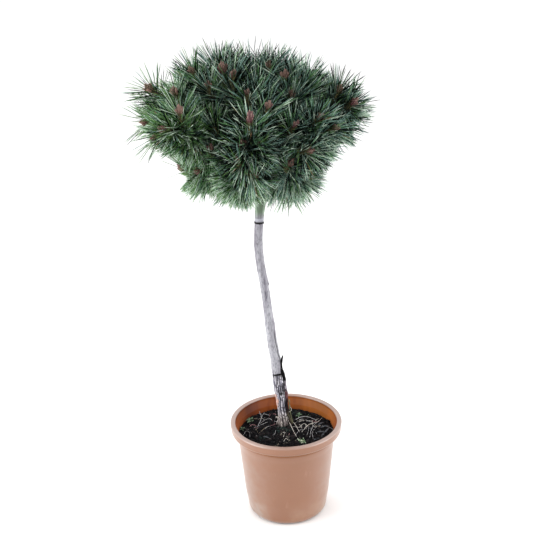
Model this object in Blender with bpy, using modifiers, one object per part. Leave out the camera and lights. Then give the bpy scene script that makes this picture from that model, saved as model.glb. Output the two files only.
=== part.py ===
"""Dwarf pine grafted on a half-standard stem, in a round plastic nursery pot.

Metres, +Z up.  The origin is the centre of the pot's flat underside and -Y is the front.
The crown is a ring of tiers round a short leader: every bough carries one mass of needles.
"""
import math
from collections import namedtuple

import bmesh
import bpy
from mathutils import Vector, noise

GAP = 0.0003                    # clearance left between pieces that touch

# Pot: a tapered wall under a low second band and a rounded, folded rim
POT_HEIGHT = 0.220
POT_FOOT_RADIUS = 0.0810
POT_CORNER = 0.0085             # radius of the rounded corner above the foot
POT_TAPER = 0.100               # growth of the wall's radius per metre of height
POT_WALL = 0.0020
POT_FLOOR = 0.0040
SECOND_BAND_FOOT = 0.179
SECOND_BAND_PROUD = 0.0013
RIM_FOOT = 0.1965
RIM_RADIUS = 0.1230
RIM_LIP = 0.0080                # width of the rim's top
RIM_ROUND = 0.0045              # radius under the rim
LIP_ROUND = 0.0030              # radius of the lip's outer edge
LIP_BEVEL = 0.0013              # bevel of the lip's inner edge
LIP_DRAFT = 0.0012              # how far the rim's face leans in towards its foot
BAND_STEP = 0.0015              # height of the step under the second band
POT_STEPS = 32
DRAIN_COUNT = 6
DRAIN_RADIUS = 0.0055
DRAIN_RING = 0.058

# Soil
SOIL_TOP = 0.197
SOIL_BROW = 0.045               # radius of the level middle, which the stem stands on
SOIL_DROP = 0.008               # how much lower the soil lies at the wall

# Stem: (height, sideways place, radius), from the soil to the fork
STEM_DEPTH = 0.020              # how far behind the pot's axis the stem stands
STEM_STATIONS = (
    (0.197, -0.0036, 0.0170),
    (0.212, -0.0052, 0.0130),
    (0.240, -0.0083, 0.0112),
    (0.320, -0.0149, 0.0109),
    (0.410, -0.0274, 0.0099),
    (0.504, -0.0360, 0.0091),
    (0.620, -0.0496, 0.0091),
    (0.690, -0.0468, 0.0095),
    (0.736, -0.0422, 0.0118),
    (0.756, -0.0400, 0.0145),
)
STEM_STEP = 0.018
FLAT_CUT = 0.003                # upright run above a foot, which squares its cut to the soil
FORK_HEIGHT = 0.756

# Dead side shoot that hugs the right of the stem
SHOOT_TOP = 0.374
SHOOT_RADIUS = 0.0034
SHOOT_TIP_RADIUS = 0.0010
SHOOT_FRONT = 0.006             # how far in front of the stem's middle it stands
SHOOT_TIP_LEAN = 0.0035
SHOOT_CLEAR = 0.0008            # room between the shoot and the stem
SHOOT_STEPS = 14

# Ties: thin black bands round the stem
TIE_HEIGHT = 0.0026
TIE_THICKNESS = 0.0010
TIE_STEPS = 16
TIE_LEVELS = {"lower_tie": 0.3245, "upper_tie": 0.6825}
TIE_REACH = 0.01                # the stem's lean at a tie is read this far above and below it

# Crown: tiers of needle masses.  'hub' is where the tier's boughs leave the stem or leader.
CROWN_X = -0.061
CROWN_Y = 0.018
Tier = namedtuple("Tier", "name count ring height radius first hub bough")
TIERS = (
    Tier("low", 6, 0.098, 0.824, 0.075, 20.0, 0.746, 0.0058),
    Tier("mid", 8, 0.172, 0.922, 0.075, 0.0, 0.795, 0.0048),
    Tier("high", 5, 0.098, 0.960, 0.076, 54.0, 0.850, 0.0042),
)
CROWN_TILT = -0.04              # rise of the crown per metre to the right
LOPSIDE = 0.06                  # how much smaller the masses on the right are, as a share
TOP_HEIGHT = 0.978
TOP_RADIUS = 0.076
HUB_STAGGER = 0.014             # every second bough of the tier leaves this much higher
STAGGERED = "mid"
LEADER_RADIUS = 0.0100
LEADER_TIP_RADIUS = 0.0058
LEADER_X = -0.046
INNER_DEPTH = 0.72              # share of a mass's radius that lies on the bough's side of its middle
LEADER_TOP = TOP_HEIGHT - INNER_DEPTH * TOP_RADIUS
BUMP = 0.13                     # unevenness of a mass, as a share of its radius
BUMP_SCALE = 2.1
BUMP_MEAN = 0.1                 # share of the bump by which a whole mass swells
BUMP_ROW = (3.1, 9.0)           # the masses' places in the noise: step from one to the next, height
WANDER = 0.012                  # how far a mass's middle strays from its ring
STRAY_ROW = (7.3, 1.7, 12.8)    # the strays' places in the noise: step, then depth and height
STRAY_AXES = 17.6               # and from one direction to the next
NOISE_GAIN = 1.6                # brings the noise's usual peaks to about 1
SIZE_DRAWS = 50                 # strays from this one on give the masses their sizes
BOUGH_STEPS = 4
BOUGH_TAPER = 0.75
BOUGH_SAG = 0.10                # how far a bough's middle hangs under its chord, per metre of length
CLEARANCE = 0.004               # room that each mass leaves round the stem and the others' boughs
STEM_HEAD = 0.14                # length of the stem's upper end that the low masses stay clear of
STEM_HEAD_RUNS = 10

COLOURS = {
    "pot": ((0.45, 0.23, 0.14), 0.45),
    "soil": ((0.020, 0.017, 0.016), 0.95),
    "bark": ((0.38, 0.35, 0.37), 0.85),
    "dead_wood": ((0.05, 0.045, 0.04), 0.9),
    "tie": ((0.01, 0.01, 0.012), 0.5),
    "bough": ((0.16, 0.12, 0.09), 0.85),
    "needles": ((0.035, 0.075, 0.035), 0.6),
}

Mass = namedtuple("Mass", "name middle radius hub bough_radius")


def clear_scene():
    """Remove every object of the start-up scene."""
    for old in list(bpy.data.objects):
        bpy.data.objects.remove(old, do_unlink=True)


def collection(name):
    """A new collection in the scene."""
    made = bpy.data.collections.new(name)
    bpy.context.scene.collection.children.link(made)
    return made


def material(name):
    """One plain Principled material for each finish."""
    made = bpy.data.materials.get(name)
    if made is None:
        colour, roughness = COLOURS[name]
        made = bpy.data.materials.new(name)
        made.use_nodes = True
        shader = made.node_tree.nodes["Principled BSDF"]
        shader.inputs["Base Color"].default_value = (*colour, 1.0)
        shader.inputs["Roughness"].default_value = roughness
    return made


def add_object(name, data, finish, place):
    """Link a named object with its finish into a collection."""
    made = bpy.data.objects.new(name, data)
    data.materials.append(material(finish))
    place.objects.link(made)
    return made


def turned(name, profile, finish, place, steps):
    """A profile of (radius, height) points, outer side running down, turned about Z."""
    mesh = bpy.data.meshes.new(name)
    mesh.from_pydata([(r, 0.0, z) for r, z in profile], [(i, i + 1) for i in range(len(profile) - 1)], [])
    made = add_object(name, mesh, finish, place)
    screw = made.modifiers.new("turn", "SCREW")
    screw.steps = steps
    screw.render_steps = steps
    screw.use_merge_vertices = True
    screw.merge_threshold = 0.00001
    screw.use_normal_calculate = False
    return made


def tube(name, points, radii, finish, place, resolution=1):
    """A tapering limb: a straight-segment curve whose round section follows the radii."""
    curve = bpy.data.curves.new(name, "CURVE")
    curve.dimensions = "3D"
    curve.bevel_depth = 1.0
    curve.bevel_resolution = resolution
    curve.use_fill_caps = True
    spline = curve.splines.new("POLY")
    spline.points.add(len(points) - 1)
    for spot, point, radius in zip(spline.points, points, radii):
        spot.co = (*point, 1.0)
        spot.radius = radius
    return add_object(name, curve, finish, place)


def arc(centre_r, centre_z, radius, start, end, steps):
    """Points (radius, height) along an arc, angles in degrees from +X."""
    angles = [math.radians(start + (end - start) * i / steps) for i in range(steps + 1)]
    return [(centre_r + radius * math.cos(a), centre_z + radius * math.sin(a)) for a in angles]


def wall_radius(height):
    """Outer radius of the pot's tapered wall."""
    return POT_FOOT_RADIUS + POT_CORNER + POT_TAPER * (height - POT_CORNER)


def smooth(values, height):
    """Cubic (Catmull-Rom) blend of (height, value) pairs at one height."""
    last = len(values) - 2
    i = next((k for k in range(last + 1) if height <= values[k + 1][0]), last)
    (z0, a), (z1, b) = values[i], values[i + 1]
    before = values[max(i - 1, 0)]
    after = values[min(i + 2, len(values) - 1)]
    t = min(max((height - z0) / (z1 - z0), 0.0), 1.0)
    slope0 = (b - before[1]) / (z1 - before[0]) * (z1 - z0)
    slope1 = (after[1] - a) / (after[0] - z0) * (z1 - z0)
    return ((2 * t ** 3 - 3 * t ** 2 + 1) * a + (t ** 3 - 2 * t ** 2 + t) * slope0
            + (3 * t ** 2 - 2 * t ** 3) * b + (t ** 3 - t ** 2) * slope1)


def stem_middle(height):
    """Centre of the stem at one height; above the fork it is the leader's."""
    if height > FORK_HEIGHT:
        share = (height - FORK_HEIGHT) / (LEADER_TOP - FORK_HEIGHT)
        foot = STEM_STATIONS[-1][1]
        return Vector((foot + (LEADER_X - foot) * share, STEM_DEPTH, height))
    return Vector((smooth([(z, x) for z, x, _ in STEM_STATIONS], height), STEM_DEPTH, height))


def stem_radius(height):
    """Radius of the stem or leader at one height."""
    if height > FORK_HEIGHT:
        share = (height - FORK_HEIGHT) / (LEADER_TOP - FORK_HEIGHT)
        return LEADER_RADIUS + (LEADER_TIP_RADIUS - LEADER_RADIUS) * share
    return smooth([(z, r) for z, _, r in STEM_STATIONS], height)


def pot(place, cutters):
    """The pot: one closed turned profile with drain holes round its solid middle."""
    corner = arc(POT_FOOT_RADIUS, POT_CORNER, POT_CORNER, 0.0, -90.0, 4)
    band = SECOND_BAND_PROUD
    mouth = RIM_RADIUS - RIM_LIP
    outside = [(mouth, POT_HEIGHT - LIP_BEVEL), (mouth + LIP_BEVEL, POT_HEIGHT)]
    outside += arc(RIM_RADIUS - LIP_ROUND, POT_HEIGHT - LIP_ROUND, LIP_ROUND, 90.0, 0.0, 3)
    outside += arc(RIM_RADIUS - LIP_DRAFT - RIM_ROUND, RIM_FOOT + RIM_ROUND, RIM_ROUND, 0.0, -90.0, 3)
    outside += [
        (wall_radius(RIM_FOOT) + band, RIM_FOOT),
        (wall_radius(SECOND_BAND_FOOT) + band, SECOND_BAND_FOOT),
        (wall_radius(SECOND_BAND_FOOT), SECOND_BAND_FOOT - BAND_STEP),
    ]
    outside += corner + [(0.0, 0.0)]
    inside = [(0.0, POT_FLOOR)]
    inside += [(r - POT_WALL, z + POT_FLOOR) for r, z in reversed(corner)]
    inside += [(wall_radius(RIM_FOOT) - POT_WALL, RIM_FOOT - POT_WALL), (mouth, POT_HEIGHT - LIP_BEVEL)]
    body = turned("pot", outside + inside, "pot", place, POT_STEPS)
    for i in range(DRAIN_COUNT):
        angle = math.tau * i / DRAIN_COUNT
        mesh = bpy.data.meshes.new("drain")
        work = bmesh.new()
        bmesh.ops.create_cone(work, cap_ends=True, segments=10, radius1=DRAIN_RADIUS,
                              radius2=DRAIN_RADIUS, depth=4 * POT_FLOOR)
        work.to_mesh(mesh)
        work.free()
        hole = bpy.data.objects.new(f"drain_cutter_{i + 1}", mesh)
        hole.location = (DRAIN_RING * math.cos(angle), DRAIN_RING * math.sin(angle), 0.0)
        hole.hide_render = True
        hole.display_type = "WIRE"
        cutters.objects.link(hole)
        cut = body.modifiers.new(hole.name, "BOOLEAN")
        cut.object = hole
        cut.operation = "DIFFERENCE"
    return body


def soil(place):
    """The filled pot's compost, a plug that stands clear of the wall and the floor."""
    clear = POT_WALL + 2 * GAP
    corner = arc(POT_FOOT_RADIUS - clear, POT_CORNER + POT_FLOOR + GAP, POT_CORNER, 0.0, -90.0, 4)
    edge = wall_radius(SOIL_TOP - SOIL_DROP) - clear
    shoulder = SOIL_TOP - SOIL_DROP - 2 * POT_WALL
    floor = POT_FLOOR + GAP
    profile = [(0.0, SOIL_TOP), (SOIL_BROW, SOIL_TOP), (edge - GAP, SOIL_TOP - SOIL_DROP)]
    profile += [(wall_radius(shoulder) - clear, shoulder), *corner, (0.0, floor)]
    return turned("potting_soil", profile, "soil", place, POT_STEPS)


def trunk(place):
    """The stem, flared at its flat foot and widening again into the graft at the fork."""
    foot = SOIL_TOP + GAP
    count = round((FORK_HEIGHT - foot) / STEM_STEP)
    heights = [foot, foot + FLAT_CUT]
    heights += [foot + (FORK_HEIGHT - foot) * i / count for i in range(1, count)]
    heights += [FORK_HEIGHT - FLAT_CUT, FORK_HEIGHT]
    points = [stem_middle(z) for z in heights]
    points[0].x = points[1].x
    points[-1].x = points[-2].x
    return tube("trunk", points, [stem_radius(z) for z in heights], "bark", place, 3)


def dead_side_shoot(place):
    """The thin dead shoot beside the stem's foot, ending in a black point that leans away."""
    foot = SOIL_TOP + GAP
    points = []
    radii = []
    for i in range(SHOOT_STEPS + 1):
        share = i / SHOOT_STEPS
        height = foot + (SHOOT_TOP - foot) * share
        radius = SHOOT_RADIUS + (SHOOT_TIP_RADIUS - SHOOT_RADIUS) * share ** 3
        beside = stem_radius(height) + radius + SHOOT_CLEAR
        lean = SHOOT_TIP_LEAN * share ** 4
        middle = stem_middle(height)
        points.append(Vector((middle.x + beside + lean, middle.y - SHOOT_FRONT, height)))
        radii.append(radius)
    points.insert(1, points[0] + Vector((0, 0, FLAT_CUT)))
    radii.insert(1, radii[0])
    return tube("dead_side_shoot", points, radii, "dead_wood", place, 2)


def tie(name, height, place):
    """A flat band round the stem, square to it."""
    radius = max(stem_radius(height - TIE_HEIGHT), stem_radius(height + TIE_HEIGHT)) + 2 * GAP
    outer = radius + TIE_THICKNESS
    half = TIE_HEIGHT / 2
    profile = [(outer, half), (outer, -half), (radius, -half), (radius, half), (outer, half)]
    band = turned(name, profile, "tie", place, TIE_STEPS)
    along = stem_middle(height + TIE_REACH) - stem_middle(height - TIE_REACH)
    band.rotation_mode = "QUATERNION"
    band.rotation_quaternion = Vector((0, 0, 1)).rotation_difference(along)
    band.location = stem_middle(height)
    return band


def stray(index, size):
    """A fixed, uneven shift of up to 'size' each way, different for each index."""
    step, depth, height = STRAY_ROW
    spots = [Vector((step * index, depth + STRAY_AXES * k, height)) for k in range(3)]
    return Vector([noise.noise(spot) for spot in spots]) * NOISE_GAIN * size


def crown_masses():
    """Every needle mass of the crown: the tiers from the lowest up, then the top one."""
    masses = []
    for tier in TIERS:
        for i in range(tier.count):
            azimuth = math.radians(tier.first + 360.0 * i / tier.count)
            out = Vector((math.cos(azimuth), math.sin(azimuth), 0.0)) * tier.ring
            out.z = CROWN_TILT * out.x
            middle = Vector((CROWN_X, CROWN_Y, tier.height)) + out + stray(len(masses), WANDER)
            uneven = stray(len(masses) + SIZE_DRAWS, BUMP / 2).x - LOPSIDE * math.cos(azimuth)
            radius = tier.radius * (1.0 + uneven)
            hub = tier.hub + (HUB_STAGGER * (i % 2) if tier.name == STAGGERED else 0.0)
            name = f"{tier.name}_{i + 1}"
            masses.append(Mass(name, middle, radius, stem_middle(hub), tier.bough))
    middle = Vector((CROWN_X, CROWN_Y, TOP_HEIGHT))
    masses.append(Mass("top", middle, TOP_RADIUS, stem_middle(FORK_HEIGHT), LEADER_RADIUS))
    return masses


def leader_line():
    """The leader's route: it carries the stem's line on from the fork to the top mass."""
    foot = FORK_HEIGHT + GAP
    heights = [foot + (LEADER_TOP - foot) * i / BOUGH_STEPS for i in range(BOUGH_STEPS + 1)]
    heights.insert(1, foot + FLAT_CUT)
    points = [stem_middle(z) for z in heights]
    points[0].x = points[1].x
    return points, [stem_radius(z) for z in heights]


def bough_line(mass):
    """The bough's route from beside the stem to just short of its mass, and its radii."""
    inward = (mass.middle - mass.hub).normalized()
    end = mass.middle - inward * mass.radius * INNER_DEPTH
    flat = Vector((inward.x, inward.y, 0.0)).normalized()
    stem = max(stem_radius(mass.hub.z + side * mass.bough_radius) for side in (-1, 1))
    beside = stem + mass.bough_radius * abs(inward.z)
    start = mass.hub + flat * (beside + 3 * GAP)
    middle = (start + end) / 2 - Vector((0, 0, BOUGH_SAG * (end - start).length))
    points = []
    radii = []
    for i in range(BOUGH_STEPS + 1):
        t = i / BOUGH_STEPS
        points.append(start * (1 - t) ** 2 + middle * 2 * t * (1 - t) + end * t ** 2)
        radii.append(mass.bough_radius * (1 - (1 - BOUGH_TAPER) * t))
    return points, radii


def nearest_on_line(points, spot):
    """The place on a route of straight runs that is nearest to a spot."""
    best = None
    for a, b in zip(points, points[1:]):
        run = b - a
        t = min(max((spot - a).dot(run) / run.length_squared, 0.0), 1.0)
        place = a + run * t
        if best is None or (place - spot).length < (best - spot).length:
            best = place
    return best


def cell(index, masses, lines):
    """Flat sides (normal, distance from the mass's middle) that keep one mass to its own room."""
    mass = masses[index]
    sides = []
    for j, other in enumerate(masses):
        if j == index:
            continue
        apart = other.middle - mass.middle
        far = apart.length
        share = 0.5 + (mass.radius ** 2 - other.radius ** 2) / (2 * far ** 2)
        sides.append((apart / far, far * share - GAP))
        points, radii = lines[j]
        towards = nearest_on_line(points, mass.middle) - mass.middle
        sides.append((towards.normalized(), towards.length - radii[0] - CLEARANCE))
    runs = range(STEM_HEAD_RUNS + 1)
    stem = [stem_middle(FORK_HEIGHT - STEM_HEAD * (1 - k / STEM_HEAD_RUNS)) for k in runs]
    towards = nearest_on_line(stem, mass.middle) - mass.middle
    sides.append((towards.normalized(), towards.length - stem_radius(FORK_HEIGHT) - CLEARANCE))
    points, radii = lines[index]
    inward = (mass.hub - mass.middle).normalized()
    tilt = (points[-2] - points[-1]).angle(inward)
    reach = (points[-1] - mass.middle).dot(inward)
    sides.append((inward, reach - radii[-1] * math.sin(tilt) - GAP))
    return sides


def needle_mass(index, masses, lines, place):
    """A ball with uneven swellings, cut flat where a neighbour's room begins."""
    mass = masses[index]
    sides = cell(index, masses, lines)
    work = bmesh.new()
    bmesh.ops.create_icosphere(work, subdivisions=3, radius=1.0)
    shift = Vector((BUMP_ROW[0] * index, 0.0, BUMP_ROW[1]))
    for vert in work.verts:
        way = vert.co.normalized()
        swell = NOISE_GAIN * noise.noise(way * BUMP_SCALE + shift) + BUMP_MEAN
        reach = mass.radius * (1.0 + BUMP * swell)
        for normal, distance in sides:
            lean = normal.dot(way)
            if lean * reach > distance:
                reach = distance / lean
        vert.co = mass.middle + way * reach
    mesh = bpy.data.meshes.new(f"needles_{mass.name}")
    work.to_mesh(mesh)
    work.free()
    return add_object(f"needles_{mass.name}", mesh, "needles", place)


def build():
    """Make every piece of the potted plant."""
    clear_scene()
    plant = collection("potted_pine")
    cutters = collection("cutters")
    pot(plant, cutters)
    soil(plant)
    trunk(plant)
    dead_side_shoot(plant)
    for name, height in TIE_LEVELS.items():
        tie(name, height, plant)
    masses = crown_masses()
    lines = [bough_line(mass) for mass in masses[:-1]] + [leader_line()]
    for index, mass in enumerate(masses):
        points, radii = lines[index]
        name = "leader" if mass.name == "top" else f"bough_{mass.name}"
        tube(name, points, radii, "bough", plant)
        needle_mass(index, masses, lines, plant)


build()
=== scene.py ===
"""Looks of the potted dwarf pine: bark, boughs, needled shoots with buds, compost and plastic pot.

Metres, +Z up, -Y is the front.  Limbs and masses of needles are read from the frame's nodes;
a seeded branching rule grows twigs from each bough's end to the shoots near its mass's skin.
"""
import math
from itertools import combinations, product

import bmesh
import bpy
import numpy as np
from mathutils import Matrix, Vector
from mathutils.bvhtree import BVHTree


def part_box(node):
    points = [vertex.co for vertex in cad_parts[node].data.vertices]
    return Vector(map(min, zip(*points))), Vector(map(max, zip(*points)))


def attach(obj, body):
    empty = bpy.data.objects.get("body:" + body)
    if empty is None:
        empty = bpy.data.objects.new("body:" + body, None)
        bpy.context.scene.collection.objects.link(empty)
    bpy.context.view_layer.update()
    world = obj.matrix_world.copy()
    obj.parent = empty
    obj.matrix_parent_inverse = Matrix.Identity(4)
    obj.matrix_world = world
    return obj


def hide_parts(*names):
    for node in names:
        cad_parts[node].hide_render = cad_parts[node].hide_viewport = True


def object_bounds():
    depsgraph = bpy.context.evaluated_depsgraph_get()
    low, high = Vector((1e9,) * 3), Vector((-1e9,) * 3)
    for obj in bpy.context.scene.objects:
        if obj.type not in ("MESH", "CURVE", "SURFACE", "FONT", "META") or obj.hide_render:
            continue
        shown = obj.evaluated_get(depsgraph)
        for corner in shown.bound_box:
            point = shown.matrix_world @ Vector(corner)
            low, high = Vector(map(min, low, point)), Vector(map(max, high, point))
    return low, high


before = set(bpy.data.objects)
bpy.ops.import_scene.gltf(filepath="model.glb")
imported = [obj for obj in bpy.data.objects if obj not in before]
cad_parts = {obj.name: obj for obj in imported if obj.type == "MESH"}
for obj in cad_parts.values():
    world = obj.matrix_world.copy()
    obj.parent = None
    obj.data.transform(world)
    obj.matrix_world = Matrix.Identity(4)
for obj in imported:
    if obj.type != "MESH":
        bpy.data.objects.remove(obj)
cad_low, cad_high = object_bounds()
draw = np.random.default_rng(20417)

# View: the lens, and where the eye stands and looks
FRAME_PIXELS = 553
SENSOR = 36.0
LENS = 84.716
FOCAL = LENS / SENSOR * FRAME_PIXELS
EYE = np.array([-0.0137, -2.5, 1.6742])
PITCH_DOWN = math.radians(23.884)
ROLL = math.radians(-1.319)

# Surround: even light, more of it from overhead and from both sides, and three lamps: place, size
# and power
SKY_EVEN = 0.42
SKY_OVERHEAD = 0.72
SKY_SIDES = 0.55
LAMPS = {"left": ((-2.2, -0.9, 1.1), 1.8, 52.0), "right": ((2.2, -0.7, 0.9), 1.7, 36.0),
         "above": ((-0.5, 1.2, 2.8), 1.2, 18.0)}
LAMP_AIM = (-0.03, 0.0, 0.6)
FLOOR_REACH = 30.0

# Crown
HUB_RISES = (0.03, 0.05, 0.06)  # of the points over the fork that aims, fill and skin spread from
SHOOT_SPACING = 0.042  # least distance between two shoots' places on the crown's skin
SHOOT_TRIES = 5200
SHOOT_FACING = 0.12  # least cosine between a shoot's face and the way out of the crown
SHOOT_VIEW = 0.30  # no mass stands this near before a shoot's place
SHOOT_SCATTER = 0.15  # how far a shoot's direction strays
FILL_SPACING = 0.043  # no place in the crown is further than this from a needled part
FILL_DEPTH = 0.075
FILL_TRIES = 6000
FILL_LOW = 0.25  # how far below level the fill's ways out lean at most
CROWN_BEYOND = 0.7  # every skin lies nearer to the hub than this
HEART = 0.035  # the middle of a shoot's needled part lies this far behind its bud
VALLEY = 0.055  # a face with another mass this near before it is not outer skin
BUD_DEPTH = 0.046  # least depth of a shoot's bud inside the crown's skin
SINK_ROUNDS = 8
SINK_SHARE = 0.6  # share of what is missing that one round makes up
SIDE_ROOMS = ((0.036, 0.039), (0.039, 0.039))  # least depth of a bud inside the CAD box's sides
LOW_STATURE = 0.78  # size of the lowest shoots, as a share
HIGH_STATURE = 1.10
LEFT_SMALLER = 0.22  # how much smaller the shoots at the far left are
TWIG_ROWS = 12
TWIG_SIDES = 7
TWIG_LEAST = 0.020  # a shorter twig is only grown where there is no other way
TWIG_BARE_END = 0.035  # nothing forks off this near to a twig's end
TURN_COST = 0.5  # of a twig that leaves its limb sideways
WAY_COST = 0.45  # of each metre of limb between a twig and its root
SHOOT_RADIUS = 0.0026
TREE_POWER = 0.22  # growth of a limb's radius with the number of shoots it carries

# Needles
LEAFY_LENGTH = 0.110  # needled end of a shoot
FASCICLES = 124  # needle pairs on one shoot
NEEDLE_LENGTH = 0.056
NEEDLE_WIDTH = 0.0014
NEEDLE_SHOULDER = 0.80  # a needle keeps its width up to here, as a share of its length
NEEDLE_WALLS = np.array([[0, 1, 4, 3], [1, 2, 5, 4], [2, 0, 3, 5]])
NEEDLE_ENDS = np.array([[3, 4, 6], [4, 5, 6], [5, 3, 6], [2, 1, 0]])
SHEATH_ENDS = np.array([[2, 1, 0], [3, 4, 5]])
SHEATH_LENGTH = 0.0075
SHEATH_WIDTH = 0.0021
FRONT_LEAN = 26  # degrees between a shoot and its foremost needles,
FRONT_FLARE = 16  # more for an open shoot,
BACK_LEAN = 62.0  # and its rearmost
NEEDLE_SAG = 0.005
NEEDLE_CURVE = 0.003  # how far a needle's point bends forward
NEEDLE_STRAY = 0.0013  # and any other way
SHEATHED = 0.62  # share of the pairs, from the tip, whose sheaths show
OLD_FROM = 0.55  # share from the tip where needles dry up more often
GOLDEN = math.radians(137.508)
PIECE_TRIANGLES = 190000
# Greens by spray, and the odd dry needle; the near-black deep green is painted shade and the near-white pale
# green painted highlight
GREENS = {"needles_deep_shade": (6, 16, 9), "needles_mid": (78, 122, 74), "needles_blue": (100, 132, 121),
          "needles_pale_highlight": (198, 220, 198), "needles_fresh": (98, 134, 72), "needles_dry": (122, 100, 70)}
DEEP_SHADE, PALE_HIGHLIGHT, DRY = 0, 3, 5
SPRAY_SHARES = (0.28, 0.25, 0.14, 0.20, 0.13)
TINT_WIDTHS = np.array([1.1, 1.0, 1.0, 0.75, 0.9, 1.0])
FRESH_TILT = (-1.2, 0.8, -2.0, 0.2, 2.6)  # how each tint's share grows with a spray's freshness
LOW_TILT = (-1.2, 0.0, 0.4, 1.1, 0.0)  # and how it grows towards the crown's foot, which is painted lighter: less deep green, more pale
SPRAY_HOLD = 0.06  # share of a spray's needles that have the spray's own tint
DRY_SHARE = 0.006
TWIN_STRAYS = 0.92  # share of pairs whose second needle has a tint of its own

# Buds
BUD_ROWS = 13
BUD_SIDES = 8
BUD_BELLY = 0.36  # where a bud is thickest, as a share of its length
BUD_LENGTH = 0.0185
BUD_WIDTH = 0.0074
BUD_SCALES = 13  # pale-edged scales on one bud
SIDE_BUDS = (0.95, 0.9, 0.75, 0.6, 0.4)  # chance of each bud that stands beside the main one
SIDE_BUD_OUT = 0.0040  # how far beside and below the main bud's foot,
SIDE_BUD_DOWN = 0.002
SIDE_BUD_WIDTH = 0.80  # and how wide for it
BUD_STRAYS = 0.30  # share of the buds whose tone is not their shoot's
BUD_TONES = {"buds_red": ((82, 46, 48), 0.5), "buds_brown": ((92, 70, 58), 0.55),
             "buds_pale": ((134, 106, 94), 0.6), "buds_olive": ((78, 70, 50), 0.6)}
BUD_SHARES = (0.24, 0.30, 0.22, 0.24)
# Buds that stand clear at the front: place in the view, lean to the right of upright in degrees,
# the shoot's size, and which of the bud tones it has.  The first stands alone, longer and stouter.
FRONT_BUDS = (
    (250, 118, 3, 1.0, 0), (179, 109, -10, 1.0, 2), (222, 68, 0, 1.2, 1), (174, 89, -15, 0.85, 3),
    (211, 146, -5, 0.8, 1), (269, 104, 15, 0.9, 2), (285, 73, 10, 0.95, 2), (297, 123, 40, 0.85, 0),
    (355, 101, 50, 1.0, 0), (292, 161, 35, 0.85, 2), (148, 87, -54, 1.03, 3), (190, 68, -35, 0.85, 3),
    (269, 63, 5, 1.0, 3), (340, 87, 24, 1.0, 3), (256, 173, 0, 0.75, 3), (322, 115, 50, 0.9, 2),
    (236, 160, -20, 0.75, 1), (292, 92, 10, 0.9, 3), (248, 91, 0, 0.9, 1), (271, 176, 15, 0.75, 3),
    (160, 128, -85, 0.95, 1), (196, 172, -122, 0.85, 1), (313, 150, 75, 0.85, 1), (338, 128, 80, 0.9, 1),
    (140, 122, -95, 0.95, 1), (152, 138, -120, 0.95, 1), (234, 72, 12, 1.0, 1), (208, 82, -8, 0.8, 1),
)
FRONTS = len(FRONT_BUDS)
FRONT_FULL = 11  # the first of them have clusters of full size
FRONT_BUD_SINK = 0.024  # how far behind the skin a front bud stands, along the line of sight
FRONT_BUD_NOD = 0.35  # how much a front bud leans towards the eye
BUD_CLEAR = 0.0085  # how near to a front bud's middle no needle crosses before it
CLEAR_BUDS = 12
BUD_BARED = 0.98  # share of such needles that is left out before the first CLEAR_BUDS
BUD_PEEPING = 0.70  # and before the others
# Places in the view, and how far round each no needle ends: sky between the tufts
CLEARINGS = (
    (170, 168, 9), (177, 181, 7), (164, 160, 4), (168, 177, 7), (173, 189, 5), (162, 167, 5),
    (254, 41, 6), (316, 61, 6), (166, 75, 5), (149, 74, 4), (125, 114, 7), (124, 127, 7),
    (128, 135, 6), (135, 147, 6), (143, 157, 6), (367, 124, 5), (359, 136, 4), (345, 150, 5),
    (159, 174, 6), (167, 186, 6), (201, 51, 5), (181, 58, 4), (261, 44, 4), (361, 131, 4),
    (197, 201, 4), (206, 200, 4), (317, 198, 4), (156, 168, 5), (153, 163, 4), (150, 61, 6),
)
# Painted shade in the hollows between the tufts, where more needles are deep green, and painted
# highlight on tufts that stand out, where fewer are deep and those turn pale: place in the view, how
# far round it, and share of the needles that change
HOLLOWS = ((230, 119, 10, 0.55), (232, 155, 11, 0.60), (242, 83, 9, 0.60), (337, 108, 9, 0.65),
           (321, 105, 8, 0.40), (263, 173, 9, 0.50), (247, 110, 5, 0.50), (235, 133, 8, 0.50))
TUFTS = ((318, 143, 11, 0.38), (190, 145, 11, 0.60), (296, 145, 10, 0.55), (333, 151, 8, 0.42),
         (181, 86, 9, 0.55), (220, 92, 8, 0.55), (188, 132, 7, 0.50), (362, 116, 9, 0.50),
         (303, 70, 9, 0.45), (144, 117, 8, 0.45))
TUFT_REACH = 0.03  # how far behind the fork, along the view, both still change needles
# Shoots that hang at the crown's foot: place in the view, lean in degrees, place along the view
HANGING = ((279, 190, 172, 0.035), (289, 190, 182, 0.000), (301, 187, 165, 0.045),
           (229, 191, 190, 0.010))

# Stem
RING_BREAK = 0.0021  # points further apart along a limb belong to two rings
STEM_SIDES = 120
STEM_STEP = 0.0009
PLATE_RELIEF = 0.0006  # of the plates low down,
CRACK_DEPTH = 0.0021  # of the fissures between them,
STREAK_RELIEF = 0.00025  # of the smooth bark's fine streaks,
SWELL_RELIEF = 0.0005  # of the whole stem's unevenness,
SCAR_RELIEF = 0.0005  # of the whorl scars,
ROOT_RELIEF = 0.0022  # and of the roots' flare
BOUGH_SIDES = 22
BOUGH_STEP = 0.0022
BOUGH_RELIEF = 0.0007
BOUGH_SUNK = 0.009  # how far a bough starts inside the stem,
LEADER_SUNK = 0.006  # and the leader inside the fork
COLLAR = 1.35  # how much thicker a limb is where it starts
ROUGH_BARK_TOP = 0.335  # fissured bark below, smooth above
GREEN_BARK_FOOT = 0.692  # the stem is green above this
KNOB_LEVEL = 0.541  # a swelling on the right that ends in a dead twig's stub
PINK_PLATE = (-2.68, 0.262)  # angle and level of a fresh pink plate of bark
WHORL_SCARS = (0.392, 0.447, 0.522, 0.575, 0.634)
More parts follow.
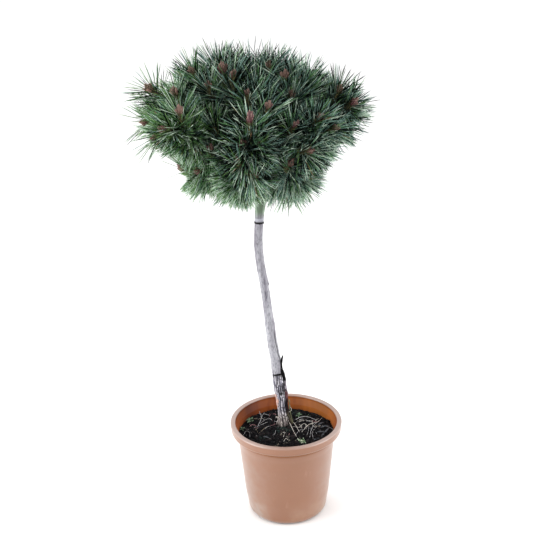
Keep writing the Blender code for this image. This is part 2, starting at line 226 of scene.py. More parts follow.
# Where the stem bulges or, below nought, is hollowed: angle, relief, levels of its rise and fall
STEM_BULGES = ((0.0, 0.0016, 0.335, 0.360, 0.440, 0.480), (math.pi, 0.0018, 0.262, 0.290, 0.335, 0.360),
               (math.pi, -0.0020, 0.195, 0.215, 0.235, 0.258))
FISSURES = 15  # upright cracks round the foot of the stem
FISSURE_WIDTH = 0.0013
RUNG_SPACING = 0.0090  # of the slanted cracks between two upright ones
RUNG_WIDTH = 0.0011
# The dead shoot's line from its point down: place in the view, and radius
DEAD_LINE = (
    (282.9, 355.2, 0.0010), (282.0, 358.4, 0.0021), (281.6, 362.0, 0.0023), (281.5, 366.0, 0.0023),
    (281.8, 369.0, 0.0026), (282.4, 371.3, 0.0032), (283.3, 374.8, 0.0036), (284.2, 378.4, 0.0034),
    (284.8, 381.2, 0.0031), (285.0, 383.2, 0.0024), (285.2, 387.0, 0.0032), (286.2, 392.0, 0.0034),
    (286.7, 399.0, 0.0030), (287.0, 407.0, 0.0029), (287.8, 413.0, 0.0028), (289.6, 418.0, 0.0026),
    (292.4, 423.5, 0.0022),
)
DEAD_SIDES = 24
TIES = (("lower_tie", 0.34), ("upper_tie", 0.10))  # and how steeply each rises to the front
TIE_TURNS = 3
TIE_RADIUS = 0.00085  # of the cord that the tie is wound from
TIE_SUNK = 0.0007  # how far the cord bites into the bark
TIE_STEPS = 64  # of one turn of the winding
TIE_PITCH = 1.4  # rise of one turn, in radii of the cord
TIE_CORD_SIDES = 10
KNOT_AT = 112  # the step of the winding that the knot sits on
KNOT_RADIUS = 0.0008
BOW_WIDTH = 0.0012
BOW_HEIGHT = 0.0016

# Pot
POT_STEPS = 224
POT_RISE = 0.100  # growth of the wall's radius per metre of height
POT_CORNER = 0.0165
FOOT_DRAW = 0.0020  # how far the wall draws in above its foot corner
POT_WALL = 0.0020
POT_FLOOR = 0.0040
RIM_FOOT = 0.1965
RIM_TO_FOOT = 0.0332  # how far inside the rim the wall's foot stands
RIM_LIP = 0.0110
LIP_DEPTH = 0.0036  # the painted sheen on the lip reaches down to here from the top
LIP_ROUND = 0.0022  # inner edge of the lip,
RIM_ROUND = 0.0032  # outer edge of the rim,
RIM_UNDER = 0.0070  # the rim's underside,
NECK_ROUND = 0.0042  # and the hollow between it and the wall
STAND_RING = 0.0665  # inner edge of the ring the pot stands on
BAND_PROUD = 0.0008  # how far the band under the rim stands out from the wall
BAND_EDGE = (0.170, 0.184)  # levels between which the wall swells into the band
DRAIN_RING = 0.058
DRAIN_RADIUS = 0.0055
DRAIN_COUNT = 6
NOTCH_RADIUS = 0.0060  # of the arches cut through the foot's ring
NOTCH_RISE = 0.0038
NOTCH_IN = 0.048  # how far inside the rim they are cut
NOTCH_LENGTH = 0.024
NOTCH_PLACE = (294.6, 523.0)  # one of them shows at the front
INNER_POINTS = 33  # how many of the outline's last points run up the inside
# Where the inside of the wall has painted light and where it has painted shade: angle and spread in degrees
INSIDE_PATCHES = ((40, 38), (138, 15))
# Dust low on the wall, and painted sheen in broad patches on the left and right flanks: angle, level, spread
# in degrees, spread in metres, strength
DUST_AND_SHEEN = ((226, 0.036, 11, 0.012, 0.8), (204, 0.045, 12, 0.030, 0.35), (216, 0.100, 28, 0.090, 0.28),
        (222, 0.016, 18, 0.012, 0.6), (322, 0.012, 18, 0.010, 0.4), (328, 0.100, 20, 0.080, 0.22))

# Soil and what lies on it
SOIL_TOP = 0.197
SOIL_BROW = 0.045  # the soil is level up to here and falls from here to the wall
SOIL_REACH = 0.106
SOIL_DROP = 0.008
SOIL_LUMP = 0.0042
SOIL_CLOD = 0.0022
HEAP_RISE = 0.0030  # of the heap against the stem
HEAP_WIDTH = 0.032
STEM_CLEAR = 0.020  # nothing is scattered nearer to the stem
SOIL_RINGS = 88
SOIL_STEPS = 230
LITTER_REACH = 0.103  # nothing lies further out
CRUMBS = 2600
CRUMB_REACH = 0.101
# Kinds of crumb: colour, share and size
CRUMB_KINDS = {"crumbs_black": ((10, 10, 13), 0.74, 1.0), "crumbs_brown": ((30, 25, 26), 0.20, 1.0),
               "crumbs_grey": ((96, 92, 92), 0.06, 0.55), "crumbs_tan": ((132, 126, 112), 0.022, 0.42)}
GRIT_PLACE = (286.0, 437.0)  # where light grit lies thickest on the soil
DEAD_NEEDLES = 44
DEAD_REACH = 0.098
DEAD_LENGTHS = (0.012, 0.040)
DEAD_RADIUS = 0.00052
LITTER_KINDS = {"litter_straw": ((146, 134, 116), 0.35), "litter_brown": ((50, 42, 40), 0.65)}
# Roots and stalks on the compost: kind, thickness, how high the middle and the end stand, places
STRANDS = (
    ("straw", 0.0012, 0.0060, 0.001, ((286.4, 417.4), (288.4, 423.6), (292.4, 431.2), (298.4, 440.4))),
    ("straw", 0.0009, 0.0045, 0.001, ((290.0, 421.0), (295.0, 426.0), (300.2, 433.6))),
    ("straw", 0.0009, 0.0060, 0.003, ((301.6, 431.6), (308.5, 426.4), (316.8, 423.4), (321.8, 417.4))),
    ("grey", 0.0013, 0.0055, 0.001, ((294.5, 420.2), (300.5, 418.0), (308.0, 417.2), (316.8, 418.8))),
    ("grey", 0.0011, 0.0035, 0.001, ((296.6, 422.2), (302.5, 420.8), (311.8, 420.8))),
    ("grey", 0.0008, 0.0050, 0.002, ((309.6, 437.0), (311.4, 430.4), (315.4, 424.8), (320.0, 419.0))),
    ("grey", 0.0006, 0.0035, 0.001, ((313.4, 437.4), (312.4, 432.0), (317.4, 426.4))),
    ("grey", 0.0005, 0.0035, 0.001, ((317.6, 433.4), (314.4, 430.0), (308.6, 428.4))),
    ("straw", 0.0007, 0.0040, 0.001, ((299.5, 427.2), (304.4, 425.0), (309.4, 427.4))),
    ("straw", 0.0006, 0.0040, 0.001, ((304.2, 423.0), (306.4, 427.6), (305.4, 432.4))),
    ("grey", 0.0007, 0.0045, 0.002, ((296.0, 434.8), (299.5, 431.4), (304.5, 430.6))),
    ("grey", 0.0005, 0.0045, 0.002, ((306.6, 435.8), (308.6, 431.0), (308.0, 427.0))),
    ("straw", 0.0006, 0.0040, 0.002, ((297.0, 424.4), (300.6, 426.6), (302.4, 430.4))),
    ("grey", 0.0009, 0.0070, 0.022, ((257.6, 424.6), (261.4, 421.0), (259.4, 418.2))),
    ("grey", 0.0007, 0.0060, 0.018, ((259.4, 422.4), (262.0, 419.4), (264.2, 418.2))),
    ("grey", 0.0006, 0.0045, 0.002, ((242.4, 434.6), (245.6, 431.4), (249.4, 432.4), (249.8, 435.4))),
    ("grey", 0.0006, 0.0030, 0.001, ((265.4, 429.8), (268.4, 428.0), (271.2, 428.4))),
    ("grey", 0.0006, 0.0030, 0.001, ((273.4, 428.8), (275.6, 431.4), (274.8, 434.0), (272.4, 435.4))),
    ("straw", 0.0008, 0.0025, 0.001, ((281.0, 434.6), (285.2, 434.0), (283.6, 437.6), (288.6, 437.0))),
    ("straw", 0.0007, 0.0025, 0.001, ((283.0, 441.6), (285.6, 439.2), (289.0, 440.8))),
    ("pink", 0.0011, 0.0035, 0.001, ((249.0, 424.8), (252.0, 424.0), (256.4, 424.4))),
    ("pink", 0.0006, 0.0030, 0.001, ((288.0, 436.0), (291.0, 434.2), (294.4, 434.4))),
)
STRAND_TONES = {"straw": (220, 213, 204), "grey": (184, 182, 184), "pink": (168, 122, 126)}
STRAND_ROWS = 24
MORE_STRANDS = 16
LEAF_ROWS = 7
LEAF_COLUMNS = 5
LEAF_THICKNESS = 0.0003
WEEDS = (((250.6, 418.6), 9, 0.0120), ((242.8, 427.6), 5, 0.009), ((298.6, 415.2), 5, 0.010))
BACK_WEED = (0.052, 0.066)
WET_LEAVES = ((319.4, 424.6, 40), (323.6, 427.4, 20), (326.2, 431.0, 60), (320.0, 431.6, -10),
              (315.4, 438.2, 30), (322.6, 434.6, 75), (266.0, 437.6, -30))  # and which way each points
STALK = ((293.0, 423.0, 0.0011), (291.2, 416.0, 0.0010), (290.0, 409.6, 0.0009), (289.6, 406.6, 0.0017),
         (289.5, 403.8, 0.0008), (289.2, 401.0, 0.0016), (288.9, 399.0, 0.0006))
MOSS = ((301.6, 440.6), (286.0, 431.2), (279.5, 431.5))
MOSS_TONES = {"moss_pale": (198, 212, 184), "moss_green": (92, 132, 88), "moss_dark": (14, 36, 32)}


# ---- numbers ----

def tone(red, green, blue):
    """A display colour, 0 to 255 each, as linear light."""
    share = np.array([red, green, blue]) / 255.0
    return tuple(np.where(share <= 0.04045, share / 12.92, ((share + 0.055) / 1.055) ** 2.4))


def ease(values, low, high):
    """0 below low, 1 above high, with a smooth step between."""
    share = np.clip((values - low) / (high - low), 0.0, 1.0)
    return share * share * (3.0 - 2.0 * share)


def window(values, foot, low, high, top):
    """0 below foot and above top, 1 from low to high, smooth between."""
    return ease(values, foot, low) * ease(-values, -top, -high)


def bell(values, width):
    """exp(-(values / width)**2): 1 at nought, falling off to both sides."""
    return np.exp(-(values / width) ** 2)


def apart(angle, other):
    """How far apart two directions are round an axis, 0 to pi."""
    return np.abs(np.mod(angle - other + math.pi, math.tau) - math.pi)


def size_of(vectors):
    """The vectors' lengths."""
    return np.linalg.norm(vectors, axis=-1)


def unit(vectors):
    """The vectors scaled to length 1."""
    return vectors / np.maximum(np.linalg.norm(vectors, axis=-1, keepdims=True), 1e-9)


def swung(first, second, angle):
    """first turned by an angle towards second: cos a * first + sin a * second."""
    return np.cos(angle)[..., None] * first + np.sin(angle)[..., None] * second


def polar(radius, turn, height):
    """Points at a distance from the Z axis, an angle round it and a height."""
    return np.stack(np.broadcast_arrays(radius * np.cos(turn), radius * np.sin(turn), height), axis=-1)


def hashed(cells, seed):
    """A repeatable number in 0..1 for each whole-number cell: products and shifts of its indices."""
    mixed = (cells[..., 0] * 73856093) ^ (cells[..., 1] * 19349663) ^ (cells[..., 2] * 83492791)
    mixed = mixed ^ (seed * 374761393)
    mixed = (mixed ^ (mixed >> 13)) * 1274126177
    return ((mixed ^ (mixed >> 16)) & 0xFFFFFF) / float(0xFFFFFF)


def noise(points, size, seed=0):
    """Smooth noise in -1..1: random corners of boxes of the given size, blended with eased weights."""
    spot = points / np.asarray(size)
    cell = np.floor(spot).astype(np.int64)
    share = ease(spot - cell, 0.0, 1.0)
    total = 0.0
    for corner in product((0, 1), repeat=3):
        weight = np.prod(np.where(np.array(corner) == 1, share, 1.0 - share), axis=-1)
        total = total + weight * hashed(cell + np.array(corner), seed)
    return 2.0 * total - 1.0


def rough(points, size, octaves, seed=0):
    """Several layers of noise, each half as large and half as strong as the one before."""
    size = np.asarray(size, dtype=float)
    layers = [noise(points, size / 2 ** k, seed + k) / 2 ** k for k in range(octaves)]
    return sum(layers) / (2.0 - 0.5 ** (octaves - 1))


# ---- meshes ----

def grid_faces(rows, columns, closed=True, looped=False):
    """Four-cornered faces of a grid of points, wrapped round its columns if closed, rows if looped."""
    index = np.arange(rows * columns).reshape(rows, columns)
    if looped:
        index = np.concatenate([index, index[:1]])
    if closed:
        index = np.concatenate([index, index[:, :1]], axis=1)
    corners = (index[:-1, :-1], index[:-1, 1:], index[1:, 1:], index[1:, :-1])
    return np.stack(corners, axis=-1).reshape(-1, 4)


def repeated(faces, count, stride):
    """The same faces for each of several copies whose points follow one another."""
    return (faces[None] + (np.arange(count) * stride)[:, None, None]).reshape(-1, faces.shape[1])


def prism_faces(count):
    """Faces of that many needles."""
    return [repeated(NEEDLE_WALLS, count, 7), repeated(NEEDLE_ENDS, count, 7)]


def build_mesh(name, points, faces, smooth=True, values=None):
    """A mesh from an array of points and a list of arrays of faces; values are kept per point."""
    mesh = bpy.data.meshes.new(name)
    points = np.ascontiguousarray(np.reshape(points, (-1, 3)), dtype=np.float32)
    corners = np.concatenate([f.ravel() for f in faces]).astype(np.int32)
    sizes = np.concatenate([np.full(len(f), f.shape[1]) for f in faces])
    starts = np.concatenate([[0], np.cumsum(sizes)[:-1]]).astype(np.int32)
    mesh.vertices.add(len(points))
    mesh.vertices.foreach_set("co", points.ravel())
    mesh.loops.add(len(corners))
    mesh.loops.foreach_set("vertex_index", corners)
    mesh.polygons.add(len(sizes))
    mesh.polygons.foreach_set("loop_start", starts)
    mesh.polygons.foreach_set("use_smooth", np.full(len(sizes), smooth))
    mesh.update(calc_edges=True)
    for key, numbers in (values or {}).items():
        layer = mesh.attributes.new(key, "FLOAT", "POINT")
        layer.data.foreach_set("value", np.asarray(numbers, dtype=np.float32).ravel())
    return mesh


def linked(name, data):
    """A new object in the scene."""
    made = bpy.data.objects.new(name, data)
    bpy.context.scene.collection.objects.link(made)
    return made


def piece(name, points, faces, finish, slot, nodes=(), **options):
    """A finished piece, riding on the one body and standing for CAD nodes."""
    mesh = build_mesh(name, points, faces, **options)
    mesh.materials.append(finish)
    made = linked(name, mesh)
    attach(made, "root")
    if nodes:
        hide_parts(*nodes)
    return made


def weld(mesh):
    """Merge points that coincide, such as the ring that a profile leaves on the axis."""
    work = bmesh.new()
    work.from_mesh(mesh)
    bmesh.ops.remove_doubles(work, verts=work.verts, dist=1e-6)
    bmesh.ops.dissolve_degenerate(work, edges=work.edges, dist=1e-7)
    bmesh.ops.recalc_face_normals(work, faces=work.faces)
    work.to_mesh(mesh)
    work.free()
    mesh.update()


def across(path):
    """Two unit vectors square to a path at each point; the first leans away from its overall run."""
    tangent = unit(np.gradient(path, axis=-2))
    run = np.abs(unit(path[..., -1, :] - path[..., 0, :]))
    reference = np.eye(3)[np.argmin(run, axis=-1)]
    side = unit(np.cross(tangent, reference[..., None, :]))
    return side, np.cross(tangent, side)


def sweep(path, radii, sides):
    """Rings of points round paths: centre + radius * (cos a * side + sin a * other), a in 0..2 pi."""
    side, other = across(path)
    angle = math.tau * np.arange(sides) / sides
    return path[..., None, :] + radii[..., None, None] * swung(side[..., None, :], other[..., None, :], angle)


def capped_tubes(rings):
    """Faces of many tubes (count, rows, sides, 3), each closed at both ends by one polygon."""
    count, rows, sides = rings.shape[:3]
    stride = rows * sides
    walls = repeated(grid_faces(rows, sides), count, stride)
    foot = repeated(np.arange(sides)[::-1][None], count, stride)
    tip = repeated((stride - sides + np.arange(sides))[None], count, stride)
    return [walls, foot, tip]


def grouped(faces):
    """Face arrays joined by their number of corners."""
    widths = sorted({f.shape[1] for f in faces})
    return [np.concatenate([f for f in faces if f.shape[1] == w]) for w in widths]


def smooth_path(points, count):
    """Catmull-Rom curve through the points, read at evenly spread parameters."""
    padded = np.concatenate([2 * points[:1] - points[1:2], points, 2 * points[-1:] - points[-2:-1]])
    at = np.linspace(0, len(points) - 1, count)
    i = np.minimum(at.astype(int), len(points) - 2)
    t = (at - i).reshape((-1,) + (1,) * (points.ndim - 1))
    a, b, c, d = (padded[i + k] for k in range(4))
    return 0.5 * (2 * b + (c - a) * t + (2 * a - 5 * b + 4 * c - d) * t ** 2
                  + (3 * b - a - 3 * c + d) * t ** 3)


def read_line(centres, radii, step):
    """A limb's smooth centre line and radii with a ring every step."""
    length = size_of(np.diff(centres, axis=0)).sum()
    count = max(int(length / step), 8)
    both = smooth_path(np.concatenate([centres, radii[:, None]], axis=1), count)
    return both[:, :3], both[:, 3]


# ---- what the frame says ----

def read(items, key, width, kind):
    """One property of all of a mesh's items, a row for each."""
    values = np.empty(len(items) * width, dtype=kind)
    items.foreach_get(key, values)
    return values.reshape(-1, width)


def limb(node, start_near):
    """Centres and radii of a limb's rings, from the end that lies nearest to a given place."""
    points = read(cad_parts[node].data.vertices, "co", 3, np.float32)
    points = np.unique(points.round(6), axis=0).astype(float)
    middle = points.mean(axis=0)
    axis = np.linalg.svd(points - middle, full_matrices=False)[2][0]
    along = (points - middle) @ axis
    order = np.argsort(along)
    breaks = np.where(np.diff(along[order]) > RING_BREAK)[0] + 1
    rings = [points[part] for part in np.split(order, breaks)]
    centres = np.array([ring.mean(axis=0) for ring in rings])
    radii = np.array([size_of(ring - ring.mean(axis=0)).mean() for ring in rings])
    if size_of(centres[-1] - start_near) < size_of(centres[0] - start_near):
        centres, radii = centres[::-1], radii[::-1]
    return centres, radii


MASS_NODES = sorted(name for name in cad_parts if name.startswith("needles_"))
BOUGH_NODES = [name.replace("needles_", "bough_") for name in MASS_NODES if name != "needles_top"]
STEM_LINE, STEM_RADII = limb("trunk", np.zeros(3))
FORK = STEM_LINE[-1]
LEADER_LINE, LEADER_RADII = limb("leader", FORK)


def stem_x(height):
    """Where the stem's line stands, left to right, at a height."""
    return np.interp(height, STEM_LINE[:, 2], STEM_LINE[:, 0])


def box_middle(node):
    """The middle of a node's box."""
    low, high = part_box(node)
    return (np.array(low) + np.array(high)) / 2


def search_tree(corners):
    """A search tree over faces given by their three corners."""
    flat = corners.reshape(-1, 3)
    return BVHTree.FromPolygons(flat.tolist(), np.arange(len(flat)).reshape(-1, 3).tolist())


def mass_skin():
    """One search tree over all masses' faces, with each face's corners, normal, area and mass."""
    corners, owner = [], []
    for k, name in enumerate(MASS_NODES):
        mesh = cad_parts[name].data
        mesh.calc_loop_triangles()
        points = read(mesh.vertices, "co", 3, np.float32)
        index = read(mesh.loop_triangles, "vertices", 3, np.int32)
        corners.append(points[index])
        owner += [k] * len(index)
    corners = np.concatenate(corners).astype(float)
    normal = np.cross(corners[:, 1] - corners[:, 0], corners[:, 2] - corners[:, 0])
    return search_tree(corners), corners, unit(normal), size_of(normal) / 2, np.array(owner)


# ---- view, light and floor ----

def view_axes():
    """The view's right, up and forward directions."""
    forward = np.array([0.0, math.cos(PITCH_DOWN), -math.sin(PITCH_DOWN)])
    right = np.array([1.0, 0.0, 0.0])
    up = np.cross(right, forward)
    turned = right * math.cos(ROLL) + up * math.sin(ROLL)
    return turned, up * math.cos(ROLL) - right * math.sin(ROLL), forward


RIGHT, UP, FORWARD = view_axes()


def sight(u, v):
    """Unit direction from the eye through a place in the view."""
    middle = FRAME_PIXELS / 2
    return unit(FORWARD + RIGHT * (u - middle) / FOCAL - UP * (v - middle) / FOCAL)


def on_level(u, v, height=SOIL_TOP):
    """Where the line of sight through a place in the view meets a level plane."""
    ray = sight(u, v)
    return EYE + ray * (height - EYE[2]) / ray[2]


def on_upright(u, v, depth):
    """Where the line of sight through a place in the view meets an upright plane across it."""
    ray = sight(u, v)
    return EYE + ray * (depth - EYE[1]) / ray[1]


def seen(points):
    """Places of points in the view, and how far along it they are."""
    gap = points - EYE
    depth = gap @ FORWARD
    scale = FOCAL / depth
    return FRAME_PIXELS / 2 + gap @ RIGHT * scale, FRAME_PIXELS / 2 - gap @ UP * scale, depth


def place_camera():
    """The camera, at the eye."""
    data = bpy.data.cameras.new("camera")
    data.lens = LENS
    data.sensor_width = SENSOR
    camera = linked("camera", data)
    turn = Matrix((RIGHT, UP, -FORWARD)).transposed().to_4x4()
    camera.matrix_world = Matrix.Translation(EYE) @ turn
    bpy.context.scene.camera = camera


def studio():
    """A pale floor, an even white surround and three soft square lamps."""
    world = bpy.data.worlds.new("studio")
    world.use_nodes = True
    back = world.node_tree.nodes["Background"]
    back.inputs["Color"].default_value = (1.0, 1.0, 1.0, 1.0)
    sky = Nodes(world.node_tree)
    way = sky.node("ShaderNodeTexCoord", {}, {}, "Generated")
    sideways, upward = (sky.node("ShaderNodeSeparateXYZ", {}, {0: way}, axis) for axis in "XZ")
    sideways = sky.node("ShaderNodeMath", {"operation": "ABSOLUTE"}, {0: sideways})
    upward = sky.node("ShaderNodeMath", {"operation": "MAXIMUM"}, {0: upward, 1: 0.0})
    sky.put(back.inputs["Strength"], sideways * SKY_SIDES + SKY_EVEN + upward * SKY_OVERHEAD)
    bpy.context.scene.world = world
    bpy.context.scene.view_settings.view_transform = "Standard"
    for name, (place, size, power) in LAMPS.items():
        data = bpy.data.lights.new(name, "AREA")
        data.size = size
        data.energy = power
        lamp = linked(name, data)
        lamp.location = place
        lamp.rotation_euler = (Vector(LAMP_AIM) - Vector(place)).to_track_quat("-Z", "Y").to_euler()
    corners = FLOOR_REACH * np.array([[-1, -1, 0], [1, -1, 0], [1, 1, 0], [-1, 1, 0]])
    mesh = build_mesh("floor", corners, [np.array([[0, 1, 2, 3]])], smooth=False)
    mesh.materials.append(Finish("studio_white", (0.92, 0.92, 0.92), 0.8).material)
    floor = linked("floor", mesh)


# ---- shader maths ----

class Level:
    """One number socket of a node tree; +, - and * on it add Math nodes."""

    def __init__(self, nodes, socket):
        self.nodes = nodes
        self.socket = socket

    def _join(self, operation, left, right):
        return self.nodes.node("ShaderNodeMath", {"operation": operation}, {0: left, 1: right})

    def __add__(self, other):
        return self._join("ADD", self, other)

    def __radd__(self, other):
        return self._join("ADD", other, self)

    def __sub__(self, other):
        return self._join("SUBTRACT", self, other)

    def __rsub__(self, other):
        return self._join("SUBTRACT", other, self)

    def __mul__(self, other):
        return self._join("MULTIPLY", self, other)

    def __rmul__(self, other):
        return self._join("MULTIPLY", other, self)

    def step(self, low, high):
        """0 below low, 1 above high, smooth between; low may be the larger."""
        settings = {"interpolation_type": "SMOOTHSTEP"}
        sockets = {"Value": self, "From Min": low, "From Max": high}
        return self.nodes.node("ShaderNodeMapRange", settings, sockets)


class Nodes:
    """A node tree under construction."""

    def __init__(self, tree):
        self.tree = tree

    def put(self, socket, value):
        """Link a Level to an input, or set its plain value; three numbers 0 to 255 are a colour."""
        if isinstance(value, Level):
            self.tree.links.new(value.socket, socket)
        elif socket.type == "RGBA":
            socket.default_value = (*tone(*value), 1.0)
        else:
            socket.default_value = value

    def node(self, kind, settings, sockets, output=0):
        """Add a node: settings first, then its sockets' values or links; returns one output."""
        made = self.tree.nodes.new(kind)
        for key, value in settings.items():
            setattr(made, key, value)
        for key, value in sockets.items():
            self.put(made.inputs[key], value)
        return Level(self, made.outputs[output])


class Finish(Nodes):
    """A material under construction round its Principled shader."""

    def __init__(self, name, colour, roughness, **extras):
        self.material = bpy.data.materials.new(name)
        self.material.use_nodes = True
        super().__init__(self.material.node_tree)
        self.shader = self.tree.nodes["Principled BSDF"]
        self.shader.inputs["Base Color"].default_value = (*colour, 1.0)
        self.shader.inputs["Roughness"].default_value = roughness
        for key, value in extras.items():
            self.shader.inputs[key.replace("_", " ")].default_value = value

    def spot(self):
        """Object coordinates."""
        return self.node("ShaderNodeTexCoord", {}, {}, "Object")

    def grain(self, scale, detail=4.0, upright=1.0):
        """Noise in 0..1 on object coordinates, drawn out along Z where upright is below 1."""
        place = self.node("ShaderNodeMapping", {}, {"Vector": self.spot(), "Scale": (1.0, 1.0, upright)})
        sockets = {"Vector": place, "Scale": scale, "Detail": detail, "Roughness": 0.55}
        return self.node("ShaderNodeTexNoise", {}, sockets)

    def height(self):
        """Height above the ground."""
        return self.node("ShaderNodeSeparateXYZ", {}, {0: self.spot()}, "Z")

    def kept(self, name):
        """A number kept on the mesh's points."""
        return self.node("ShaderNodeAttribute", {"attribute_name": name}, {}, "Fac")

    def blend(self, share, first, second):
        """A colour between two, by share."""
        return self.node("ShaderNodeMix", {"data_type": "RGBA"}, {0: share, 6: first, 7: second}, 2)

    def layered(self, ground, *layers):
        """Colours laid over a ground one after another, each by its own share."""
        for share, colour in layers:
            ground = self.blend(share, ground, colour)
        return ground

    def finished(self, colour, relief, distance, strength):
        """The material, once its base colour and its fine relief, 'distance' high, are linked."""
        self.put(self.shader.inputs["Base Color"], colour)
        sockets = {"Height": relief, "Distance": distance, "Strength": strength}
        self.put(self.shader.inputs["Normal"], self.node("ShaderNodeBump", {}, sockets))
        return self.material


def plain_finish(name, colour, roughness=0.8, shine=0.4):
    """One plain colour for a kind of small thing."""
    return Finish(name, tone(*colour), roughness, Specular_IOR_Level=shine).material


def needle_finish(name):
    """Waxy needle green, plain, dealt out by spray; the deep green is painted shade and dull, the pale green
    painted highlight.
    """
    return plain_finish(name, GREENS[name], *((0.7, 0.06) if name == "needles_deep_shade" else (0.36, 0.40)))


def stem_finish():
    """Pale grey bark with painted shade down the front and back, dark fissures and pink plates low down,
    green on top.
    """
    skin = Finish("pine_bark", tone(150, 148, 154), 0.82)
    level = skin.height()
    streak = skin.grain(75.0, 5.0, 0.09).step(0.40, 0.64)
    fleck = skin.grain(420.0, 3.0, 0.30).step(0.44, 0.70)
    blotch = skin.grain(110.0, 3.0, 0.35).step(0.44, 0.58)
    foot = GREEN_BARK_FOOT
    ring = level.step(foot - 0.006, foot - 0.003) * level.step(foot + 0.003, foot)
    pink = skin.grain(40.0, 2.0, 0.35).step(0.62, 0.72)
    # smooth bark; the kept shade is painted shade down the front and back, with bark specks in it
    smooth_part = skin.layered(
        skin.blend(streak, (170, 170, 176), (132, 129, 138)),
        (level.step(0.54, 0.60) * 0.30, (126, 122, 130)), (fleck * 0.65, (80, 76, 84)),
        (skin.kept("shade"), (84, 81, 92)), (ring * 0.35, (186, 190, 200)))
    plates = skin.layered(
        skin.blend(blotch, (220, 217, 226), (138, 136, 150)), (fleck * 0.5, (60, 54, 60)),
        (level.step(0.245, 0.212) * 0.7, skin.blend(blotch, (196, 182, 170), (104, 90, 80))),
        (pink * 0.6, (186, 134, 116)), (skin.kept("pink"), (232, 186, 170)))
    mixed = skin.layered(
        smooth_part, (level.step(ROUGH_BARK_TOP, ROUGH_BARK_TOP - 0.012), plates),
        (level.step(foot, foot + 0.020) * 0.95, skin.blend(streak, (152, 172, 150), (80, 98, 76))),
        (skin.kept("crack"), (6, 4, 6)), (level.step(SOIL_TOP + 0.016, SOIL_TOP) * 0.7, (70, 58, 52)))
    return skin.finished(mixed, fleck + streak, 0.0004, 0.7)


def limb_finish(name, colour, scale, older, younger, kept):
    """Rough bark of two spotted tones, blending into two younger ones by a kept number."""
    skin = Finish(name, tone(*colour), 0.85)
    spots = skin.grain(scale, 4.0).step(0.38, 0.66)
    mixed = skin.blend(skin.kept(kept), skin.blend(spots, *older), skin.blend(spots, *younger))
    return skin.finished(mixed, spots, 0.0006, 0.8)


def dead_finish():
    """Dead shoot: olive at its foot, near black, maroon, grey and cracked, then black to its point."""
    skin = Finish("dead_shoot", tone(70, 60, 52), 0.8, Specular_IOR_Level=0.1)
    level = skin.height()
    spots = skin.grain(200.0, 4.0, 0.3).step(0.42, 0.60)
    mixed = skin.layered(
        skin.blend(spots, (90, 86, 70), (44, 40, 36)),
        (level.step(0.222, 0.242), skin.blend(spots, (56, 44, 46), (20, 16, 18))),
        (level.step(0.262, 0.272), skin.blend(spots, (104, 70, 74), (42, 26, 30))),
        (level.step(0.283, 0.291), skin.blend(spots, (150, 144, 152), (36, 32, 38))),
        (level.step(0.309, 0.314), (5, 5, 7)))
    return skin.finished(mixed, spots, 0.0006, 0.9)


def pot_finish():
    """Terracotta-coloured plastic: glossy outside, a pale painted sheen on the lip, deep orange and dull
    inside.
    """
    skin = Finish("pot_plastic", tone(138, 94, 68), 0.42, Specular_IOR_Level=0.5, Coat_Roughness=0.34,
                  Coat_IOR=1.58)
    level = skin.height()
    cloud = skin.grain(9.0, 3.0).step(0.30, 0.72)
    scuff = skin.grain(70.0, 6.0, 0.35).step(0.60, 0.74)
    fine = skin.grain(900.0, 2.0)
    inner, lip = skin.kept("inner"), skin.kept("lip")
    dust_line = level.step(0.075, 0.0) * skin.grain(14.0, 4.0).step(0.46, 0.68)
    # painted shade in the band under the rim; there the plastic is also rougher and has no coat
    shade_under_rim = level.step(RIM_FOOT + 0.0045, RIM_FOOT) * level.step(RIM_FOOT - 0.0120, RIM_FOOT - 0.0030)
    flute = skin.grain(42.0, 3.0, 0.15).step(0.38, 0.64)
    # inside wall, with painted light on the back right and painted shade on the back left
    inside = skin.layered(
        skin.blend(flute, (138, 66, 12), (112, 47, 6)), (skin.kept("painted_light_inside") * 0.46, (184, 112, 36)),
        (skin.kept("painted_shade_inside") * 0.65, (74, 22, 2)))
    body = skin.layered(
        skin.blend(cloud, (125, 74, 36), (131, 79, 42)), (dust_line * 0.35, (172, 146, 120)),
        # grey of dust low on the wall and of painted sheen on both flanks
        (scuff * 0.10, (190, 156, 136)), (skin.kept("dust_and_sheen") * 0.6, (148, 143, 136)),
        # painted sheen on the lip, and painted shade in the band under the rim
        (lip, (158, 134, 125)), (shade_under_rim * 0.12, (74, 38, 20)),
        # painted shade along the foot, within its lowest 4 mm
        (level.step(0.0040, 0.0010) * 0.8, (56, 38, 30)), (inner, inside))
    gloss = 0.36 + 0.06 * cloud + 0.16 * scuff + 0.26 * inner - 0.10 * lip + 0.55 * shade_under_rim
    skin.put(skin.shader.inputs["Roughness"], gloss)
    skin.put(skin.shader.inputs["Coat Weight"], (1.0 - inner) * (1.0 - shade_under_rim))
    return skin.finished(body, fine + scuff * 0.6, 0.00006, 0.6)


def soil_finish():
    """Dark damp compost."""
    skin = Finish("compost", tone(20, 18, 19), 0.92, Specular_IOR_Level=0.12)
    clod = skin.grain(160.0, 5.0).step(0.34, 0.70)
    speck = skin.grain(800.0, 3.0).step(0.55, 0.75)
    mixed = skin.layered(skin.blend(clod, (8, 8, 11), (23, 22, 25)), (speck * 0.25, (58, 54, 54)))
    return skin.finished(mixed, clod + speck, 0.0012, 0.9)


# ---- stem ----

